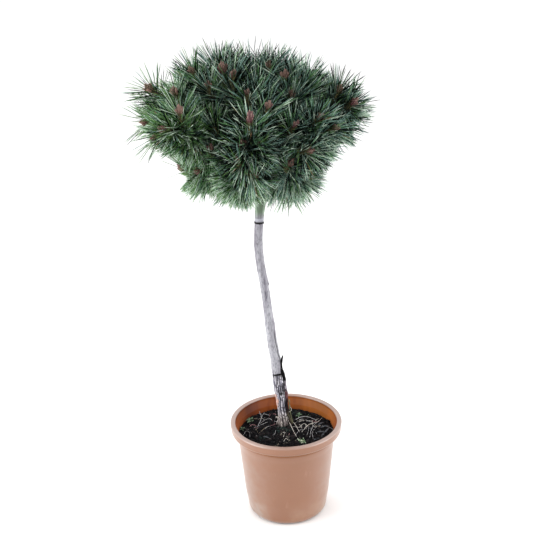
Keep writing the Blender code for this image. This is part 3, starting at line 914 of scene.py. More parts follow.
def fissures(angle, level, spot):
    """How cracked the bark is, 0 to 1: wandering upright lines, and slanted rungs between them."""
    column = (angle + 0.20 * noise(spot, (0.012, 0.012, 0.022), 11)) / math.tau * FISSURES
    nearest = np.round(column)
    gap = np.abs(column - nearest) * math.tau / FISSURES * STEM_RADII[2]
    along = np.stack([7.3 * np.mod(nearest, FISSURES), level / 0.013, 0 * level], axis=-1)
    width = FISSURE_WIDTH * (1.0 + 0.45 * noise(along, 1.0, 12))
    upright = (1.3 - gap / width).clip(0, 1) * ease(noise(along, 1.0, 13), -0.75, -0.50)
    lane = np.floor(column)
    own = np.stack([np.mod(lane, FISSURES), 0 * lane, 0 * lane], axis=-1).astype(np.int64)
    rung = level / RUNG_SPACING + 5.0 * hashed(own, 14) + 0.5 * (column - lane)
    own[..., 1] = np.round(rung)
    slanted = (1.2 - np.abs(rung - np.round(rung)) * RUNG_SPACING / RUNG_WIDTH).clip(0, 1)
    flakes = 1.3 - np.abs(noise(spot, (0.0055, 0.0055, 0.0100), 16)) / 0.16
    flakes = flakes.clip(0, 1) * ease(noise(spot, (0.012, 0.012, 0.020), 17), -0.30, 0.0)
    return np.maximum(np.maximum(upright, flakes), slanted * (hashed(own, 15) > 0.35))


def stem():
    """The stem: rings along its line, pushed in at fissures and out at plates, scars and roots."""
    line, radii = read_line(STEM_LINE, STEM_RADII, STEM_STEP)
    line[0, 2] = STEM_LINE[0, 2]
    spot = sweep(line, radii, STEM_SIDES)
    outward = unit(spot - line[:, None])
    level = spot[..., 2]
    angle = np.arctan2(outward[..., 1], outward[..., 0])
    low_down = ease(-level, -ROUGH_BARK_TOP, -ROUGH_BARK_TOP + 0.012)
    crack = fissures(angle, level, spot)
    # Plates and cracks low down, fine streaks above, and scars where whorls of shoots stood
    plates = rough(spot, (0.008, 0.008, 0.014), 3, 21)
    streaks = rough(spot, (0.004, 0.004, 0.05), 3, 31)
    push = low_down * (PLATE_RELIEF * plates + 0.0005 - CRACK_DEPTH * crack)
    push += (1 - low_down) * (STREAK_RELIEF * streaks)
    push += SWELL_RELIEF * rough(spot, (0.03, 0.03, 0.06), 2, 41)
    tint = crack * low_down + 0.25 * ease(-streaks, 0.35, 0.7) * (1 - low_down)
    for k, scar in enumerate(WHORL_SCARS):
        above = level - scar - 0.002 * np.sin(angle * 2 + k) - 0.001 * np.sin(angle * 5 + 2 * k)
        push += SCAR_RELIEF * bell(above, 0.006) - 0.0002 * bell(above - 0.0042, 0.0014)
        tint += 0.10 * bell(above - 0.0042, 0.0016)
    # The swelling under the dead twig's stub, the groove beside it, bulges and roots
    swelling = ease(-level, -KNOB_LEVEL - 0.034, -KNOB_LEVEL) * (level > KNOB_LEVEL - 0.0006)
    knob = bell(level - KNOB_LEVEL, 0.0026) * bell(angle, 0.30)
    groove = bell(angle + 0.62, 0.13) * window(level, 0.362, 0.376, 0.420, 0.446)
    push += 0.0016 * swelling * bell(angle, 0.6) + 0.0010 * knob - 0.0012 * groove
    tint += groove + 0.6 * knob
    for side, relief, *levels in STEM_BULGES:
        push += relief * bell(apart(angle, side), 0.8) * window(level, *levels)
    roots = ease(-level, -SOIL_TOP - 0.022, -SOIL_TOP)
    push += roots * ROOT_RELIEF * (np.cos(angle * 4 + 0.6) + 0.5 * np.cos(angle * 7 + 2.0))
    rings = spot + outward * push[..., None]
    rings[0, :, 2] = line[0, 2]
    # Painted shade in broad stripes down the front and the back, where light from both sides leaves the bark
    # darker, dark bark specks in the front one, and the pink plate
    wander = 0.30 * noise(np.stack([0 * level, 0 * level, level], axis=-1), 0.06, 91)
    beside = apart(angle, wander - math.pi / 2)
    painted_shade_band = bell(beside, 0.50) + 0.6 * bell(apart(angle, math.pi / 2 - wander), 0.45)
    shade = 0.42 * painted_shade_band * (0.75 + 0.5 * rough(spot, (0.006, 0.006, 0.030), 2, 92))
    specks = ease(rough(spot, (0.0022, 0.0022, 0.0065), 2, 93), 0.16, 0.42) * bell(beside, 0.24)
    shade += 0.8 * specks * window(level, 0.48, 0.50, 0.555, 0.575)
    plate = np.hypot(apart(angle, PINK_PLATE[0]) / 0.56, (level - PINK_PLATE[1]) / 0.013)
    pink = ease(1.3 + 0.5 * noise(spot, 0.006, 94) - plate, 0.0, 0.25) * (1 - crack)
    values = {"crack": tint.clip(0, 1), "shade": shade.clip(0, 1), "pink": pink}
    piece("stem_bark", rings, capped_tubes(rings[None]), stem_finish(), "bark", ["trunk"], values=values)


def view_line(places, depth, step):
    """A smooth line and its radii through places in the view, on an upright plane."""
    centres = np.array([on_upright(u, v, depth) for u, v, _ in places])
    return read_line(centres, np.array([radius for _, _, radius in places]), step)


def dead_shoot():
    """The dead side shoot: knobbly, pressed to the stem, with a thick black cuff below its spike."""
    line, radii = view_line(DEAD_LINE[::-1], box_middle("dead_side_shoot")[1], 0.0010)
    share = np.linspace(0, 1, len(line))
    line[:, 1] += 0.0008 * np.cos(share * 23)
    rings = sweep(line, radii, DEAD_SIDES)
    turn = math.tau * np.arange(DEAD_SIDES) / DEAD_SIDES
    relief = 0.28 * rough(rings, (0.0050, 0.0050, 0.0075), 2, 51)
    relief = relief + 0.10 * np.sin(5 * turn + 9 * share[:, None])
    rings = rings + unit(rings - line[:, None]) * (relief * radii[:, None])[..., None]
    piece("dead_shoot", rings, capped_tubes(rings[None]), dead_finish(), "dead_wood", ["dead_side_shoot"])


def ties():
    """Each tie: a black cord laid three times round the stem, its turns touching, with a small knot."""
    finish = plain_finish("black_tie", (9, 8, 10), 0.6, 0.2)
    turn = np.linspace(0, TIE_TURNS * math.tau, TIE_STEPS * TIE_TURNS + 1)
    loop = np.linspace(0, math.tau, 25)
    bow = polar(BOW_WIDTH, math.pi / 2 - loop, BOW_HEIGHT * np.sin(loop * 2))
    for name, raised in TIES:
        low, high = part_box(name)
        middle = box_middle(name)
        radius = (high[1] - low[1]) / 2 - TIE_RADIUS - TIE_SUNK
        lean = (stem_x(middle[2] + 0.01) - stem_x(middle[2] - 0.01)) / 0.02
        path = middle + polar(radius, turn, 0 * turn)
        path[:, 2] += TIE_PITCH * TIE_RADIUS * (turn / math.tau - TIE_TURNS / 2) + 0.0003 * np.sin(turn + 1)
        path[:, 2] += -lean * radius * np.cos(turn) - raised * radius * np.sin(turn)
        rings = sweep(path, TIE_RADIUS * (1 + 0.1 * np.sin(turn * 9)), TIE_CORD_SIDES)
        knot = path[KNOT_AT] + KNOT_RADIUS * unit(path[KNOT_AT] - middle) + bow
        knot = sweep(knot, np.full(len(loop), KNOT_RADIUS), TIE_CORD_SIDES)
        points = np.concatenate([rings.reshape(-1, 3), knot.reshape(-1, 3)])
        faces = capped_tubes(rings[None]) + [f + rings.size // 3 for f in capped_tubes(knot[None])]
        piece(f"{name}_band", points, faces, finish, "tie", [name])


# ---- boughs and twigs ----

def boughs():
    """The leader and every bough: swollen collars, rough bark; joined into one piece."""
    parts, faces, near, ends = [], [], [], {}
    for name in ["leader"] + BOUGH_NODES:
        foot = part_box(name)[0][2]
        if name == "leader":
            centres, radii, sunk = LEADER_LINE, LEADER_RADII, LEADER_SUNK
        else:
            hub = [np.interp(foot, STEM_LINE[:, 2], STEM_LINE[:, k]) for k in (0, 1)]
            centres, radii = limb(name, np.array([*hub, foot]))
            sunk = BOUGH_SUNK
        into = centres[0] - unit(centres[1] - centres[0]) * sunk
        centres = np.concatenate([into[None], centres])
        radii = np.concatenate([radii[:1] * COLLAR, radii])
        ends[name] = (centres[-1], unit(centres[-1] - centres[-2]))
        line, radii = read_line(centres, radii, BOUGH_STEP)
        rings = sweep(line, radii, BOUGH_SIDES)
        bark = BOUGH_RELIEF * rough(rings, 0.006, 3, 61)
        rings = rings + unit(rings - line[:, None]) * bark[..., None]
        run = np.concatenate([[0.0], size_of(np.diff(line, axis=0)).cumsum()])
        near.append(np.repeat(1 - ease(run, 0.03, 0.10), BOUGH_SIDES))
        faces += [f + sum(map(len, parts)) for f in capped_tubes(rings[None])]
        parts.append(rings.reshape(-1, 3))
    finish = limb_finish("bough_bark", (96, 80, 66), 230.0, ((112, 98, 78), (58, 48, 40)),
                         ((128, 142, 124), (84, 98, 80)), "near_stem")
    piece("bough_bark", np.concatenate(parts), grouped(faces), finish, "bough", ["leader"] + BOUGH_NODES,
          values={"near_stem": np.concatenate(near)})
    return ends


def above_fork(rise):
    """A point over the fork."""
    return FORK + np.array([0.0, 0.0, rise])


def stature(height):
    """A shoot's size for its height in the crown: small low down, full at the top."""
    return LOW_STATURE + (HIGH_STATURE - LOW_STATURE) * ease(height, 0.80, 0.95)


def shoot_places(tree, corners, normals, areas, owner):
    """Where shoots meet the crown's skin: the front buds' lines of sight, then a spaced scatter.

    Candidates are drawn by area from faces that look away from the fork with no mass before them;
    one is kept if it lies further than SHOOT_SPACING from all kept so far.
    """
    skin, lead, mass = [], [], []
    for u, v, *_ in FRONT_BUDS:
        ray = sight(u, v)
        hit, _, face, _ = tree.ray_cast(Vector(EYE), Vector(ray))
        skin.append(np.array(hit))
        lead.append(np.array(hit) + ray * FRONT_BUD_SINK)
        mass.append(owner[face])
    picks = draw.choice(len(areas), SHOOT_TRIES, p=areas / areas.sum())
    mixes = draw.dirichlet((1.0, 1.0, 1.0), SHOOT_TRIES)
    for spot, face in zip(np.einsum("nk,nkj->nj", mixes, corners[picks]), picks):
        out = unit(spot - above_fork(HUB_RISES[2]))
        if (normals[face] @ out >= SHOOT_FACING
                and tree.ray_cast(Vector(spot + out * 0.002), Vector(out), SHOOT_VIEW)[0] is None
                and size_of(np.array(skin) - spot).min() >= SHOOT_SPACING * stature(spot[2])):
            skin.append(spot)
            mass.append(owner[face])
    return np.array(skin), np.array(lead), np.array(mass)


def shoot_aims(spots, middles):
    """Each shoot's direction: out from the crown and its mass; the higher, the more upright."""
    outward = unit(spots - above_fork(HUB_RISES[0]))
    lift = 0.15 + 1.15 * ease(spots[:, 2], 0.78, 0.93)
    aim = 0.75 * outward + 0.35 * unit(spots - middles) + lift[:, None] * np.array([0.0, 0.0, 1.0])
    return unit(unit(aim) + SHOOT_SCATTER * draw.normal(size=spots.shape))


def view_aims(leans, nod):
    """Directions that lean to the right of upright, in degrees as seen, and nod towards the eye."""
    return unit(swung(UP, RIGHT, np.radians(leans)) - nod * FORWARD)


def inner_places(tree, hearts):
    """Places for more shoots wherever the crown is thin: clear of all needled parts' middles.

    Candidates lie on lines out from the crown's hub, at least FILL_DEPTH inside the first skin
    met on the way in; one is kept if it is further than FILL_SPACING from every needled part.
    """
    hub = above_fork(HUB_RISES[1])
    ways = unit(draw.normal(size=(FILL_TRIES, 3)))
    ways[:, 2] = np.abs(ways[:, 2]) - FILL_LOW
    kept = hearts.copy()
    for way, share in zip(unit(ways), draw.random(FILL_TRIES)):
        hit = tree.ray_cast(Vector(hub + way * CROWN_BEYOND), Vector(-way))[0]
        room = size_of(np.array(hit) - hub) - FILL_DEPTH if hit is not None else 0.0
        spot = hub + way * room * math.sqrt(share)
        if room > 0.0 and size_of(kept - spot).min() > FILL_SPACING * stature(spot[2]):
            kept = np.concatenate([kept, spot[None]])
    return kept[len(hearts):]


def sink_tips(tips, tree, corners, normals, depths):
    """Move each tip away from the nearest outer skin until it lies its depth inside.

    Outer skin is made of the faces that have no other mass close before them.
    """
    middles = corners.mean(axis=1)
    bare = [tree.ray_cast(Vector(middle + normal * 1e-4), Vector(normal), VALLEY)[0] is None
            for middle, normal in zip(middles, normals)]
    outer = search_tree(corners[bare])
    for _ in range(SINK_ROUNDS):
        for k, tip in enumerate(tips):
            near = np.array(outer.find_nearest(Vector(tip))[0])
            gap = size_of(tip - near)
            if gap < depths[k]:
                tips[k] = tip + (tip - near) / max(gap, 1e-6) * (depths[k] - gap) * SINK_SHARE
    return tips


def grow(root, heading, tips, aims):
    """Twigs from a bough's end to its shoots' tips, the nearest tips first.

    Each tip joins the limb point that costs least: the gap to the tip plus a share of the way
    back to the root.  A twig leaves along the limb and arrives along the shoot's own aim.
    Returns each twig's points, its tip's place in the list and how many shoots it carries.
    """
    spots, heads, ways, hosts = [root], [heading], [0.0], [-1]
    twigs, parents = [], []
    order = np.argsort(size_of(tips - root))
    t = np.linspace(0, 1, TWIG_ROWS)[:, None]
    for k in order:
        gap = tips[k] - np.array(spots)
        far = size_of(gap)
        turn = 1.0 - np.einsum("nj,nj->n", unit(gap), np.array(heads))
        cost = far * (1.0 + TURN_COST * turn) + WAY_COST * np.array(ways)
        cost[far < TWIG_LEAST] += 1.0
        at = int(np.argmin(cost))
        start = spots[at]
        length = size_of(tips[k] - start)
        first = start + unit(heads[at] + 0.8 * unit(tips[k] - start)) * 0.35 * length
        second = tips[k] - aims[k] * 0.58 * length
        path = ((1 - t) ** 3 * start + 3 * (1 - t) ** 2 * t * first
                + 3 * (1 - t) * t ** 2 * second + t ** 3 * tips[k])
        twigs.append(path)
        parents.append(hosts[at])
        run = np.concatenate([[0.0], size_of(np.diff(path, axis=0)).cumsum()])
        for row in range(1, TWIG_ROWS):
            if run[-1] - run[row] < TWIG_BARE_END:
                break
            spots.append(path[row])
            heads.append(unit(path[row] - path[row - 1]))
            ways.append(ways[at] + run[row])
            hosts.append(len(twigs) - 1)
    carried = np.ones(len(twigs))
    for k in range(len(twigs) - 1, -1, -1):
        if parents[k] >= 0:
            carried[parents[k]] += carried[k]
    return np.array(twigs), order, carried


# ---- needles and buds ----

def prisms(base, aim, side, length, width, bow):
    """Needles as three-sided prisms: a ring at the base, one near the end, then a point.

    base + aim * length * t + bow * t**2 is the needle's line; the rings turn round that line.
    """
    angle = math.tau * np.arange(3) / 3
    ring = swung(side[:, None], np.cross(aim, side)[:, None], angle)
    middle = base + aim * (NEEDLE_SHOULDER * length)[:, None] + bow * NEEDLE_SHOULDER ** 2
    tip = base + aim * length[:, None] + bow
    foot = base[:, None] + ring * (0.42 * width)[:, None, None]
    waist = middle[:, None] + ring * (0.48 * width)[:, None, None]
    return np.concatenate([foot, waist, tip[:, None]], axis=1)


def rows_of(*arrays):
    """Each array as plain rows of three."""
    return [a.reshape(-1, 3) for a in arrays]


def leafy_line(paths, back):
    """Points at distances back from the shoots' tips, and the shoots' directions there."""
    run = size_of(np.diff(paths, axis=1))
    left = np.concatenate([np.cumsum(run[:, ::-1], axis=1)[:, ::-1], np.zeros((len(paths), 1))], axis=1)
    heading = unit(np.gradient(paths, axis=1))
    centre = np.empty(back.shape + (3,))
    forward = np.empty(back.shape + (3,))
    for k, axis in product(range(len(paths)), range(3)):
        reach = np.minimum(back[k], left[k, 0] * 0.98)
        centre[k, :, axis] = np.interp(reach, left[k, ::-1], paths[k, ::-1, axis])
        forward[k, :, axis] = np.interp(reach, left[k, ::-1], heading[k, ::-1, axis])
    return centre, unit(forward)


def needles_on(paths, vigour, flare):
    """Needle pairs round the leafy end of every shoot, and the brown sheath at each pair's foot.

    Pairs stand on a spiral of the golden angle, closer together near the tip; they lean forward
    near the tip and spread, then droop, further back.
    """
    shape = (len(paths), FASCICLES)
    rank = (np.arange(FASCICLES) + 0.5) / FASCICLES
    back = LEAFY_LENGTH * (0.01 + 0.99 * rank ** 1.35)
    back = back[None] * vigour[:, None] * (1 + 0.04 * draw.normal(size=shape))
    centre, forward = leafy_line(paths, back)
    upright = np.where(np.abs(forward[..., 2:3]) > 0.9, np.array([1.0, 0, 0]), np.array([0, 0, 1.0]))
    side = unit(np.cross(forward, upright))
    spin = GOLDEN * np.arange(FASCICLES)[None] + draw.uniform(0, math.tau, (len(paths), 1))
    radial = swung(side, np.cross(forward, side), spin + 0.35 * draw.normal(size=shape))
    spread = draw.uniform(0.86, 1.16, (len(paths), 1))
    tip_lean = (FRONT_LEAN + FRONT_FLARE * flare)[:, None]
    lean = np.radians(tip_lean + (BACK_LEAN - tip_lean) * rank[None] ** 0.8)
    aim = swung(forward, radial, lean * spread + 0.12 * draw.normal(size=shape))
    base = centre + radial * SHOOT_RADIUS
    sag = -NEEDLE_SAG * (0.3 + rank[None, :, None]) * np.array([0, 0, 1.0])
    length = NEEDLE_LENGTH * (1 - 0.10 * rank[None]) * vigour[:, None]
    length = length * (1 + 0.07 * draw.normal(size=shape).clip(-2, 2))
    edge = unit(np.cross(aim, forward + 0.3 * draw.normal(size=aim.shape)))
    pairs = []
    for way in (-1, 1):
        blade = unit(swung(aim, edge, np.radians(draw.uniform(3.0, 10.0, shape)) * way))
        bow = sag + forward * NEEDLE_CURVE + NEEDLE_STRAY * draw.normal(size=aim.shape)
        stretch = length * (1 + 0.03 * draw.normal(size=shape))
        pairs.append((base + blade * SHEATH_LENGTH * 0.6, blade, edge, stretch, bow))
    return pairs, (base, aim, edge), rank


def hides_bud(base, tip, bud_spots):
    """Which needles cross in front of a front bud, within BUD_CLEAR of it as the eye sees it."""
    hidden = np.zeros(len(base), dtype=bool)
    for spot in bud_spots:
        far = size_of(spot - EYE)
        ray = (spot - EYE) / far
        a, b = base - EYE, tip - EYE
        depth_a, depth_b = a @ ray, b @ ray
        a = a / depth_a[:, None] * far - ray * far
        b = b / depth_b[:, None] * far - ray * far
        run = b - a
        t = (-(a * run).sum(axis=1) / np.maximum((run * run).sum(axis=1), 1e-12)).clip(0, 1)
        gap = size_of(a + run * t[:, None])
        hidden |= (gap < BUD_CLEAR) & (depth_a + (depth_b - depth_a) * t < far)
    return hidden


def ends_in_sky(tips):
    """Which needles end in one of the clearings, as the eye sees them."""
    u, v, _ = seen(tips)
    return np.any([np.hypot(u - at_u, v - at_v) < reach for at_u, at_v, reach in CLEARINGS], axis=0)


def shaded(blades, tints, luck):
    """The tints with painted shade, more deep green, in the hollows and painted highlight, more pale green,
    on the tufts at the front.
    """
    u, v, depth = seen((blades[:, 0] + blades[:, 6]) / 2)
    front = depth < seen(FORK[None])[2] + TUFT_REACH
    for places, old, new in ((HOLLOWS, None, DEEP_SHADE), (TUFTS, DEEP_SHADE, PALE_HIGHLIGHT)):
        for at_u, at_v, reach, share in places:
            chosen = front & (np.hypot(u - at_u, v - at_v) < reach) & (luck < share)
            tints = np.where(chosen if old is None else chosen & (tints == old), new, tints)
    return tints


def spray_tints(tips, rank):
    """Tints for the two needles of each pair: a few follow their spray, the rest stray.

    Sprays low down and to the left are fresher green, those to the right and on top bluer; low down the crown
    is painted lighter, with fewer deep and more pale needles.
    """
    shape = (len(tips), FASCICLES)
    leftward, downward = (FORK[0] - tips[:, 0]) / 0.22, (0.90 - tips[:, 2]) / 0.12
    fresh = ease(leftward + 0.50 * downward, -0.3, 1.0)
    share = np.array(SPRAY_SHARES)[None] * np.exp(np.array(FRESH_TILT)[None] * (fresh - 0.5)[:, None])
    share = share * np.exp(np.array(LOW_TILT)[None] * ease(-tips[:, 2], -0.88, -0.80)[:, None])
    share = np.cumsum(share / share.sum(axis=1, keepdims=True), axis=1)[:, None, :-1]
    spray, tint, other = ((draw.random((len(tips), n, 1)) > share).sum(axis=2)
                          for n in (1, FASCICLES, FASCICLES))
    tint = np.where(draw.random(shape) < SPRAY_HOLD, spray, tint)
    dry = draw.random(shape) < DRY_SHARE * (1 + 2 * (rank[None] > OLD_FROM))
    tint = np.where(dry, DRY, tint)
    return tint, np.where(draw.random(shape) < TWIN_STRAYS, other, tint)


def needles(paths, vigour, flare, bud_spots):
    """All needles, dealt into pieces by tint, and their sheaths."""
    pairs, sheaths, rank = needles_on(paths, vigour, flare)
    tints = spray_tints(paths[:, -1], rank)
    blades = []
    for (base, aim, side, length, bow), tint in zip(pairs, tints):
        width = NEEDLE_WIDTH * (1 + 0.08 * draw.normal(size=length.shape)) * TINT_WIDTHS[tint]
        base, aim, side, bow = rows_of(base, aim, side, bow)
        blades.append(prisms(base, aim, side, length.ravel(), width.ravel(), bow))
    blades = np.concatenate(blades)
    luck = draw.random(len(blades))
    feet, ends = blades[:, 0], blades[:, 6]
    hidden = hides_bud(feet, ends, bud_spots[:CLEAR_BUDS]) & (luck < BUD_BARED)
    hidden |= hides_bud(feet, ends, bud_spots[CLEAR_BUDS:]) & (luck < BUD_PEEPING)
    hidden |= ends_in_sky(ends)
    tints = shaded(blades, np.concatenate([tint.ravel() for tint in tints]), luck)
    room = PIECE_TRIANGLES // 10
    nodes = MASS_NODES
    for k, name in enumerate(GREENS):
        finish = needle_finish(name)
        chosen = blades[~hidden & (tints == k)]
        for part in range(0, len(chosen), room):
            some = chosen[part:part + room]
            piece(f"{name}_{part // room + 1}", some, prism_faces(len(some)), finish, "needles", nodes)
            nodes = ()
    near = np.repeat((rank < SHEATHED)[None], len(paths), axis=0).ravel()
    base, aim, side = (a[near] for a in rows_of(*sheaths))
    length = np.full(len(base), SHEATH_LENGTH / NEEDLE_SHOULDER)
    width = np.full(len(base), SHEATH_WIDTH)
    cups = prisms(base - aim * 0.001, aim, side, length, width, aim * 0.0)[:, :6]
    piece("needle_sheaths", cups, [repeated(faces, len(cups), 6) for faces in (NEEDLE_WALLS, SHEATH_ENDS)],
          plain_finish("sheath_olive", (100, 98, 62)), "bough")


def bud_belly(t):
    """A bud's radius along its length, 1 at its thickest: a flat parabola below, a blunt arc above."""
    below = 1 - 0.42 * ((BUD_BELLY - t) / BUD_BELLY).clip(0, 1) ** 2
    above = np.sqrt((1 - ((t - BUD_BELLY) / (1 - BUD_BELLY)).clip(0, 1) ** 2.3).clip(0, 1))
    return np.where(t < BUD_BELLY, below, above)


def bud_rings(foot, aim, length, width):
    """Closed blunt buds: radius = width/2 * belly(t), with every second ring of scales standing off."""
    t = np.linspace(0, 1, BUD_ROWS) ** 0.85
    scales = 1 + 0.10 * (np.arange(BUD_ROWS) % 2)
    path = foot[:, None] + aim[:, None] * (length[:, None] * t[None])[..., None]
    return sweep(path, (width[:, None] / 2) * (bud_belly(t) * scales)[None], BUD_SIDES)


def bud_scales(foot, aim, length, width):
    """Scale tips on a spiral round each bud, lying along its skin and standing off a little."""
    side, other = across(np.stack([foot, foot + aim], axis=1))
    length, width, foot, aim = length[:, None], width[:, None], foot[:, None], aim[:, None]
    t = 0.04 + 0.74 * (np.arange(BUD_SCALES) / (BUD_SCALES - 1))[None]
    spin = GOLDEN * np.arange(BUD_SCALES)[None] + draw.uniform(0, math.tau, (len(foot), 1))
    radial = swung(side[:, :1], other[:, :1], spin)
    radius = (width / 2) * bud_belly(t)
    base = foot + aim * (length * t)[..., None] + radial * radius[..., None] * 0.93
    slope = 0.22 - 0.55 * (t - BUD_BELLY).clip(0, 1) * width / length * 4
    heading = unit(aim + radial * slope[..., None])
    long = 0.27 * length * draw.uniform(0.8, 1.2, (1, BUD_SCALES))
    wide = np.repeat(0.23 * width, BUD_SCALES)
    base, heading, edge = rows_of(base, heading, np.cross(heading, radial))
    return prisms(base, heading, edge, long.ravel(), wide, np.zeros(base.shape))


def buds(tips, aims, size):
    """Each shoot's cluster: one main bud, and up to five beside it that stand almost as tall."""
    count = len(tips)
    side, other = (a[:, 0] for a in across(np.stack([tips, tips + aims], axis=1)))
    lone = np.arange(count) == 0
    made = [(tips, aims, BUD_LENGTH * size * (1 + 0.25 * lone), BUD_WIDTH * size * (1 + 0.65 * lone),
             np.arange(count))]
    for k, chance in enumerate(SIDE_BUDS):
        has = (draw.random(count) < chance) & ~lone
        spin = k * math.tau / len(SIDE_BUDS) + draw.uniform(-0.35, 0.35, count)
        radial = swung(side, other, spin)
        way = unit(swung(aims, radial, np.radians(draw.uniform(7, 20, count))))
        length = BUD_LENGTH * size * draw.uniform(0.62, 0.95, count)
        foot = tips + radial * SIDE_BUD_OUT - aims * SIDE_BUD_DOWN
        width = BUD_WIDTH * SIDE_BUD_WIDTH * size
        made.append([a[has] for a in (foot, way, length, width, np.arange(count))])
    feet, ways, lengths, widths, owners = (np.concatenate(a) for a in zip(*made))
    rings = bud_rings(feet, ways, lengths, widths)
    tint = draw.choice(4, count, p=BUD_SHARES)
    tint[:FRONTS] = [bud[4] for bud in FRONT_BUDS]
    tint = np.where(draw.random(len(owners)) < BUD_STRAYS, draw.choice(3, len(owners)), tint[owners])
    tint[0] = FRONT_BUDS[0][4]
    for k, (name, (colour, roughness)) in enumerate(BUD_TONES.items()):
        some = rings[tint == k]
        piece(name, some, grouped(capped_tubes(some)), plain_finish(name, colour, roughness), "bough")
    scales = bud_scales(feet, ways, lengths, widths)
    finish = plain_finish("bud_scale", (154, 122, 114), 0.6)
    piece("bud_scales", scales, prism_faces(len(scales)), finish, "bough")


def crown(ends):
    """Twigs, needles and buds of the whole crown."""
    tree, corners, normals, areas, owner = mass_skin()
    skin, lead, mass = shoot_places(tree, corners, normals, areas, owner)
    middles = np.array([box_middle(name) for name in MASS_NODES])
    aims = shoot_aims(skin, middles[mass])
    depths = BUD_DEPTH * stature(skin[:, 2]) * draw.uniform(0.85, 1.3, len(skin))
    tips = skin - unit(unit(skin - middles[mass]) + 0.6 * aims) * depths[:, None]
    tips = sink_tips(tips, tree, corners, normals, depths)
    front_aims = view_aims([bud[2] for bud in FRONT_BUDS], FRONT_BUD_NOD)
    tips[:FRONTS] = lead - front_aims * BUD_LENGTH / 2
    for axis, (room_low, room_high) in enumerate(SIDE_ROOMS):
        tips[:, axis] = tips[:, axis].clip(cad_low[axis] + room_low, cad_high[axis] - room_high)
    aims[:FRONTS] = front_aims
    outside = len(tips)
    hanging_aims = view_aims([shoot[2] for shoot in HANGING], 0.0)
    hanging = np.array([on_upright(u, v, depth) for u, v, _, depth in HANGING])
    inner = inner_places(tree, tips - aims * HEART)
    inner = np.concatenate([inner, hanging - hanging_aims * HEART])
    inner_mass = np.argmin(size_of(inner[:, None] - middles[None]), axis=1)
    inner_aims = shoot_aims(inner, middles[inner_mass])
    inner_aims[-len(HANGING):] = hanging_aims
    aims = np.concatenate([aims, inner_aims])
    tips = np.concatenate([tips, inner + inner_aims * HEART])
    mass = np.concatenate([mass, inner_mass])
    count = len(tips)
    paths = np.empty((count, TWIG_ROWS, 3))
    load = np.ones(count)
    for k, name in enumerate(MASS_NODES):
        end, heading = ends["leader" if name == "needles_top" else name.replace("needles_", "bough_")]
        own = np.where(mass == k)[0]
        if len(own):
            twigs, order, carried = grow(end - heading * 0.002, heading, tips[own], aims[own])
            paths[own[order]] = twigs
            load[own[order]] = carried
    base = SHOOT_RADIUS * load ** TREE_POWER * 1.1
    t = np.linspace(0, 1, TWIG_ROWS)
    rings = sweep(paths, base[:, None] + (SHOOT_RADIUS - base)[:, None] * t[None], TWIG_SIDES)
    young = np.broadcast_to(ease(t, 0.55, 0.95)[None, :, None], rings.shape[:3])
    finish = limb_finish("twig_bark", (90, 72, 56), 260.0, ((100, 82, 64), (54, 44, 38)),
                         ((112, 108, 68), (72, 74, 48)), "young")
    piece("twigs", rings, capped_tubes(rings), finish, "bough", values={"young": young})
    vigour = stature(tips[:, 2]) * (1.0 + 0.10 * draw.normal(size=count)).clip(0.80, 1.15)
    vigour[:FRONTS] = [bud[3] for bud in FRONT_BUDS]
    vigour[FRONTS:] *= 1 - LEFT_SMALLER * ease(FORK[0] - tips[FRONTS:, 0], 0.13, 0.20)
    size = np.where(draw.random(count) < 0.35, 1.0, draw.uniform(0.60, 0.85, count))
    size[:FRONTS] = 0.85
    size[:FRONT_FULL] = 1.0
    needles(paths, vigour, ease(size, 0.7, 1.1), tips[:FRONTS] + aims[:FRONTS] * BUD_LENGTH * 0.6)
    buds(tips[:outside], aims[:outside], (size * vigour)[:outside])


# ---- pot ----

def bend(centre, radius, start, end, steps):
    """Points (radius, height) along an arc, angles in degrees from outwards."""
    angle = np.radians(np.linspace(start, end, steps))
    return np.stack([centre[0] + radius * np.cos(angle), centre[1] + radius * np.sin(angle)], axis=-1)


def run(points, steps):
    """Straight runs between (radius, height) points, divided evenly."""
    points = np.array(points)
    return np.concatenate([np.linspace(a, b, steps, endpoint=False) for a, b in zip(points, points[1:])])


def pot_profile(rim, top):
    """The pot's outline from the inner edge of the lip over the rim, down and back up inside."""
    mouth = rim - RIM_LIP
    foot = rim - RIM_TO_FOOT - FOOT_DRAW - POT_CORNER
    wall = foot + POT_CORNER

    def radius(height):
        return wall + POT_RISE * (height - POT_CORNER) + FOOT_DRAW * ease(height, POT_CORNER, 0.055)

    neck = radius(RIM_FOOT)
    levels = np.linspace(RIM_FOOT - 0.0050, POT_CORNER + 0.002, 61)
    return np.concatenate([
        bend((mouth + LIP_ROUND, top - LIP_ROUND), LIP_ROUND, 180, 90, 6),
        bend((rim - RIM_ROUND, top - RIM_ROUND), RIM_ROUND, 90, 0, 9),
        run([(rim, top - 0.0034), (rim - 0.0014, RIM_FOOT + 0.0085)], 7),
        bend((rim - 0.0084, RIM_FOOT + 0.0080), RIM_UNDER, 5, -75, 9),
        run([(rim - 0.0068, RIM_FOOT + 0.0011), (neck + BAND_PROUD + 0.0044, RIM_FOOT + 0.0002)], 4),
        bend((neck + BAND_PROUD + NECK_ROUND, RIM_FOOT - NECK_ROUND), NECK_ROUND, 90, 180, 6),
        np.stack([radius(levels) + BAND_PROUD * ease(levels, *BAND_EDGE), levels], axis=-1),
        bend((foot, POT_CORNER), POT_CORNER, 0, -90, 12),
        run([(foot, 0.0), (foot - 0.0030, 0.0), (foot - 0.0038, 0.0010), (STAND_RING, 0.0010)], 3),
        run([(STAND_RING - 0.0005, 0.0), (0.0, 0.0)], 12),
        run([(0.0, POT_FLOOR), (foot - POT_WALL, POT_FLOOR)], 8),
        bend((foot - POT_WALL, POT_CORNER + POT_FLOOR), POT_CORNER, -90, 0, 6),
        run([(wall - POT_WALL, POT_CORNER + POT_FLOOR), (neck - POT_WALL, RIM_FOOT - 0.001),
             (mouth, top - 0.0060)], 7),
        run([(mouth, top - 0.0060), (mouth, top - LIP_ROUND)], 5),
    ])


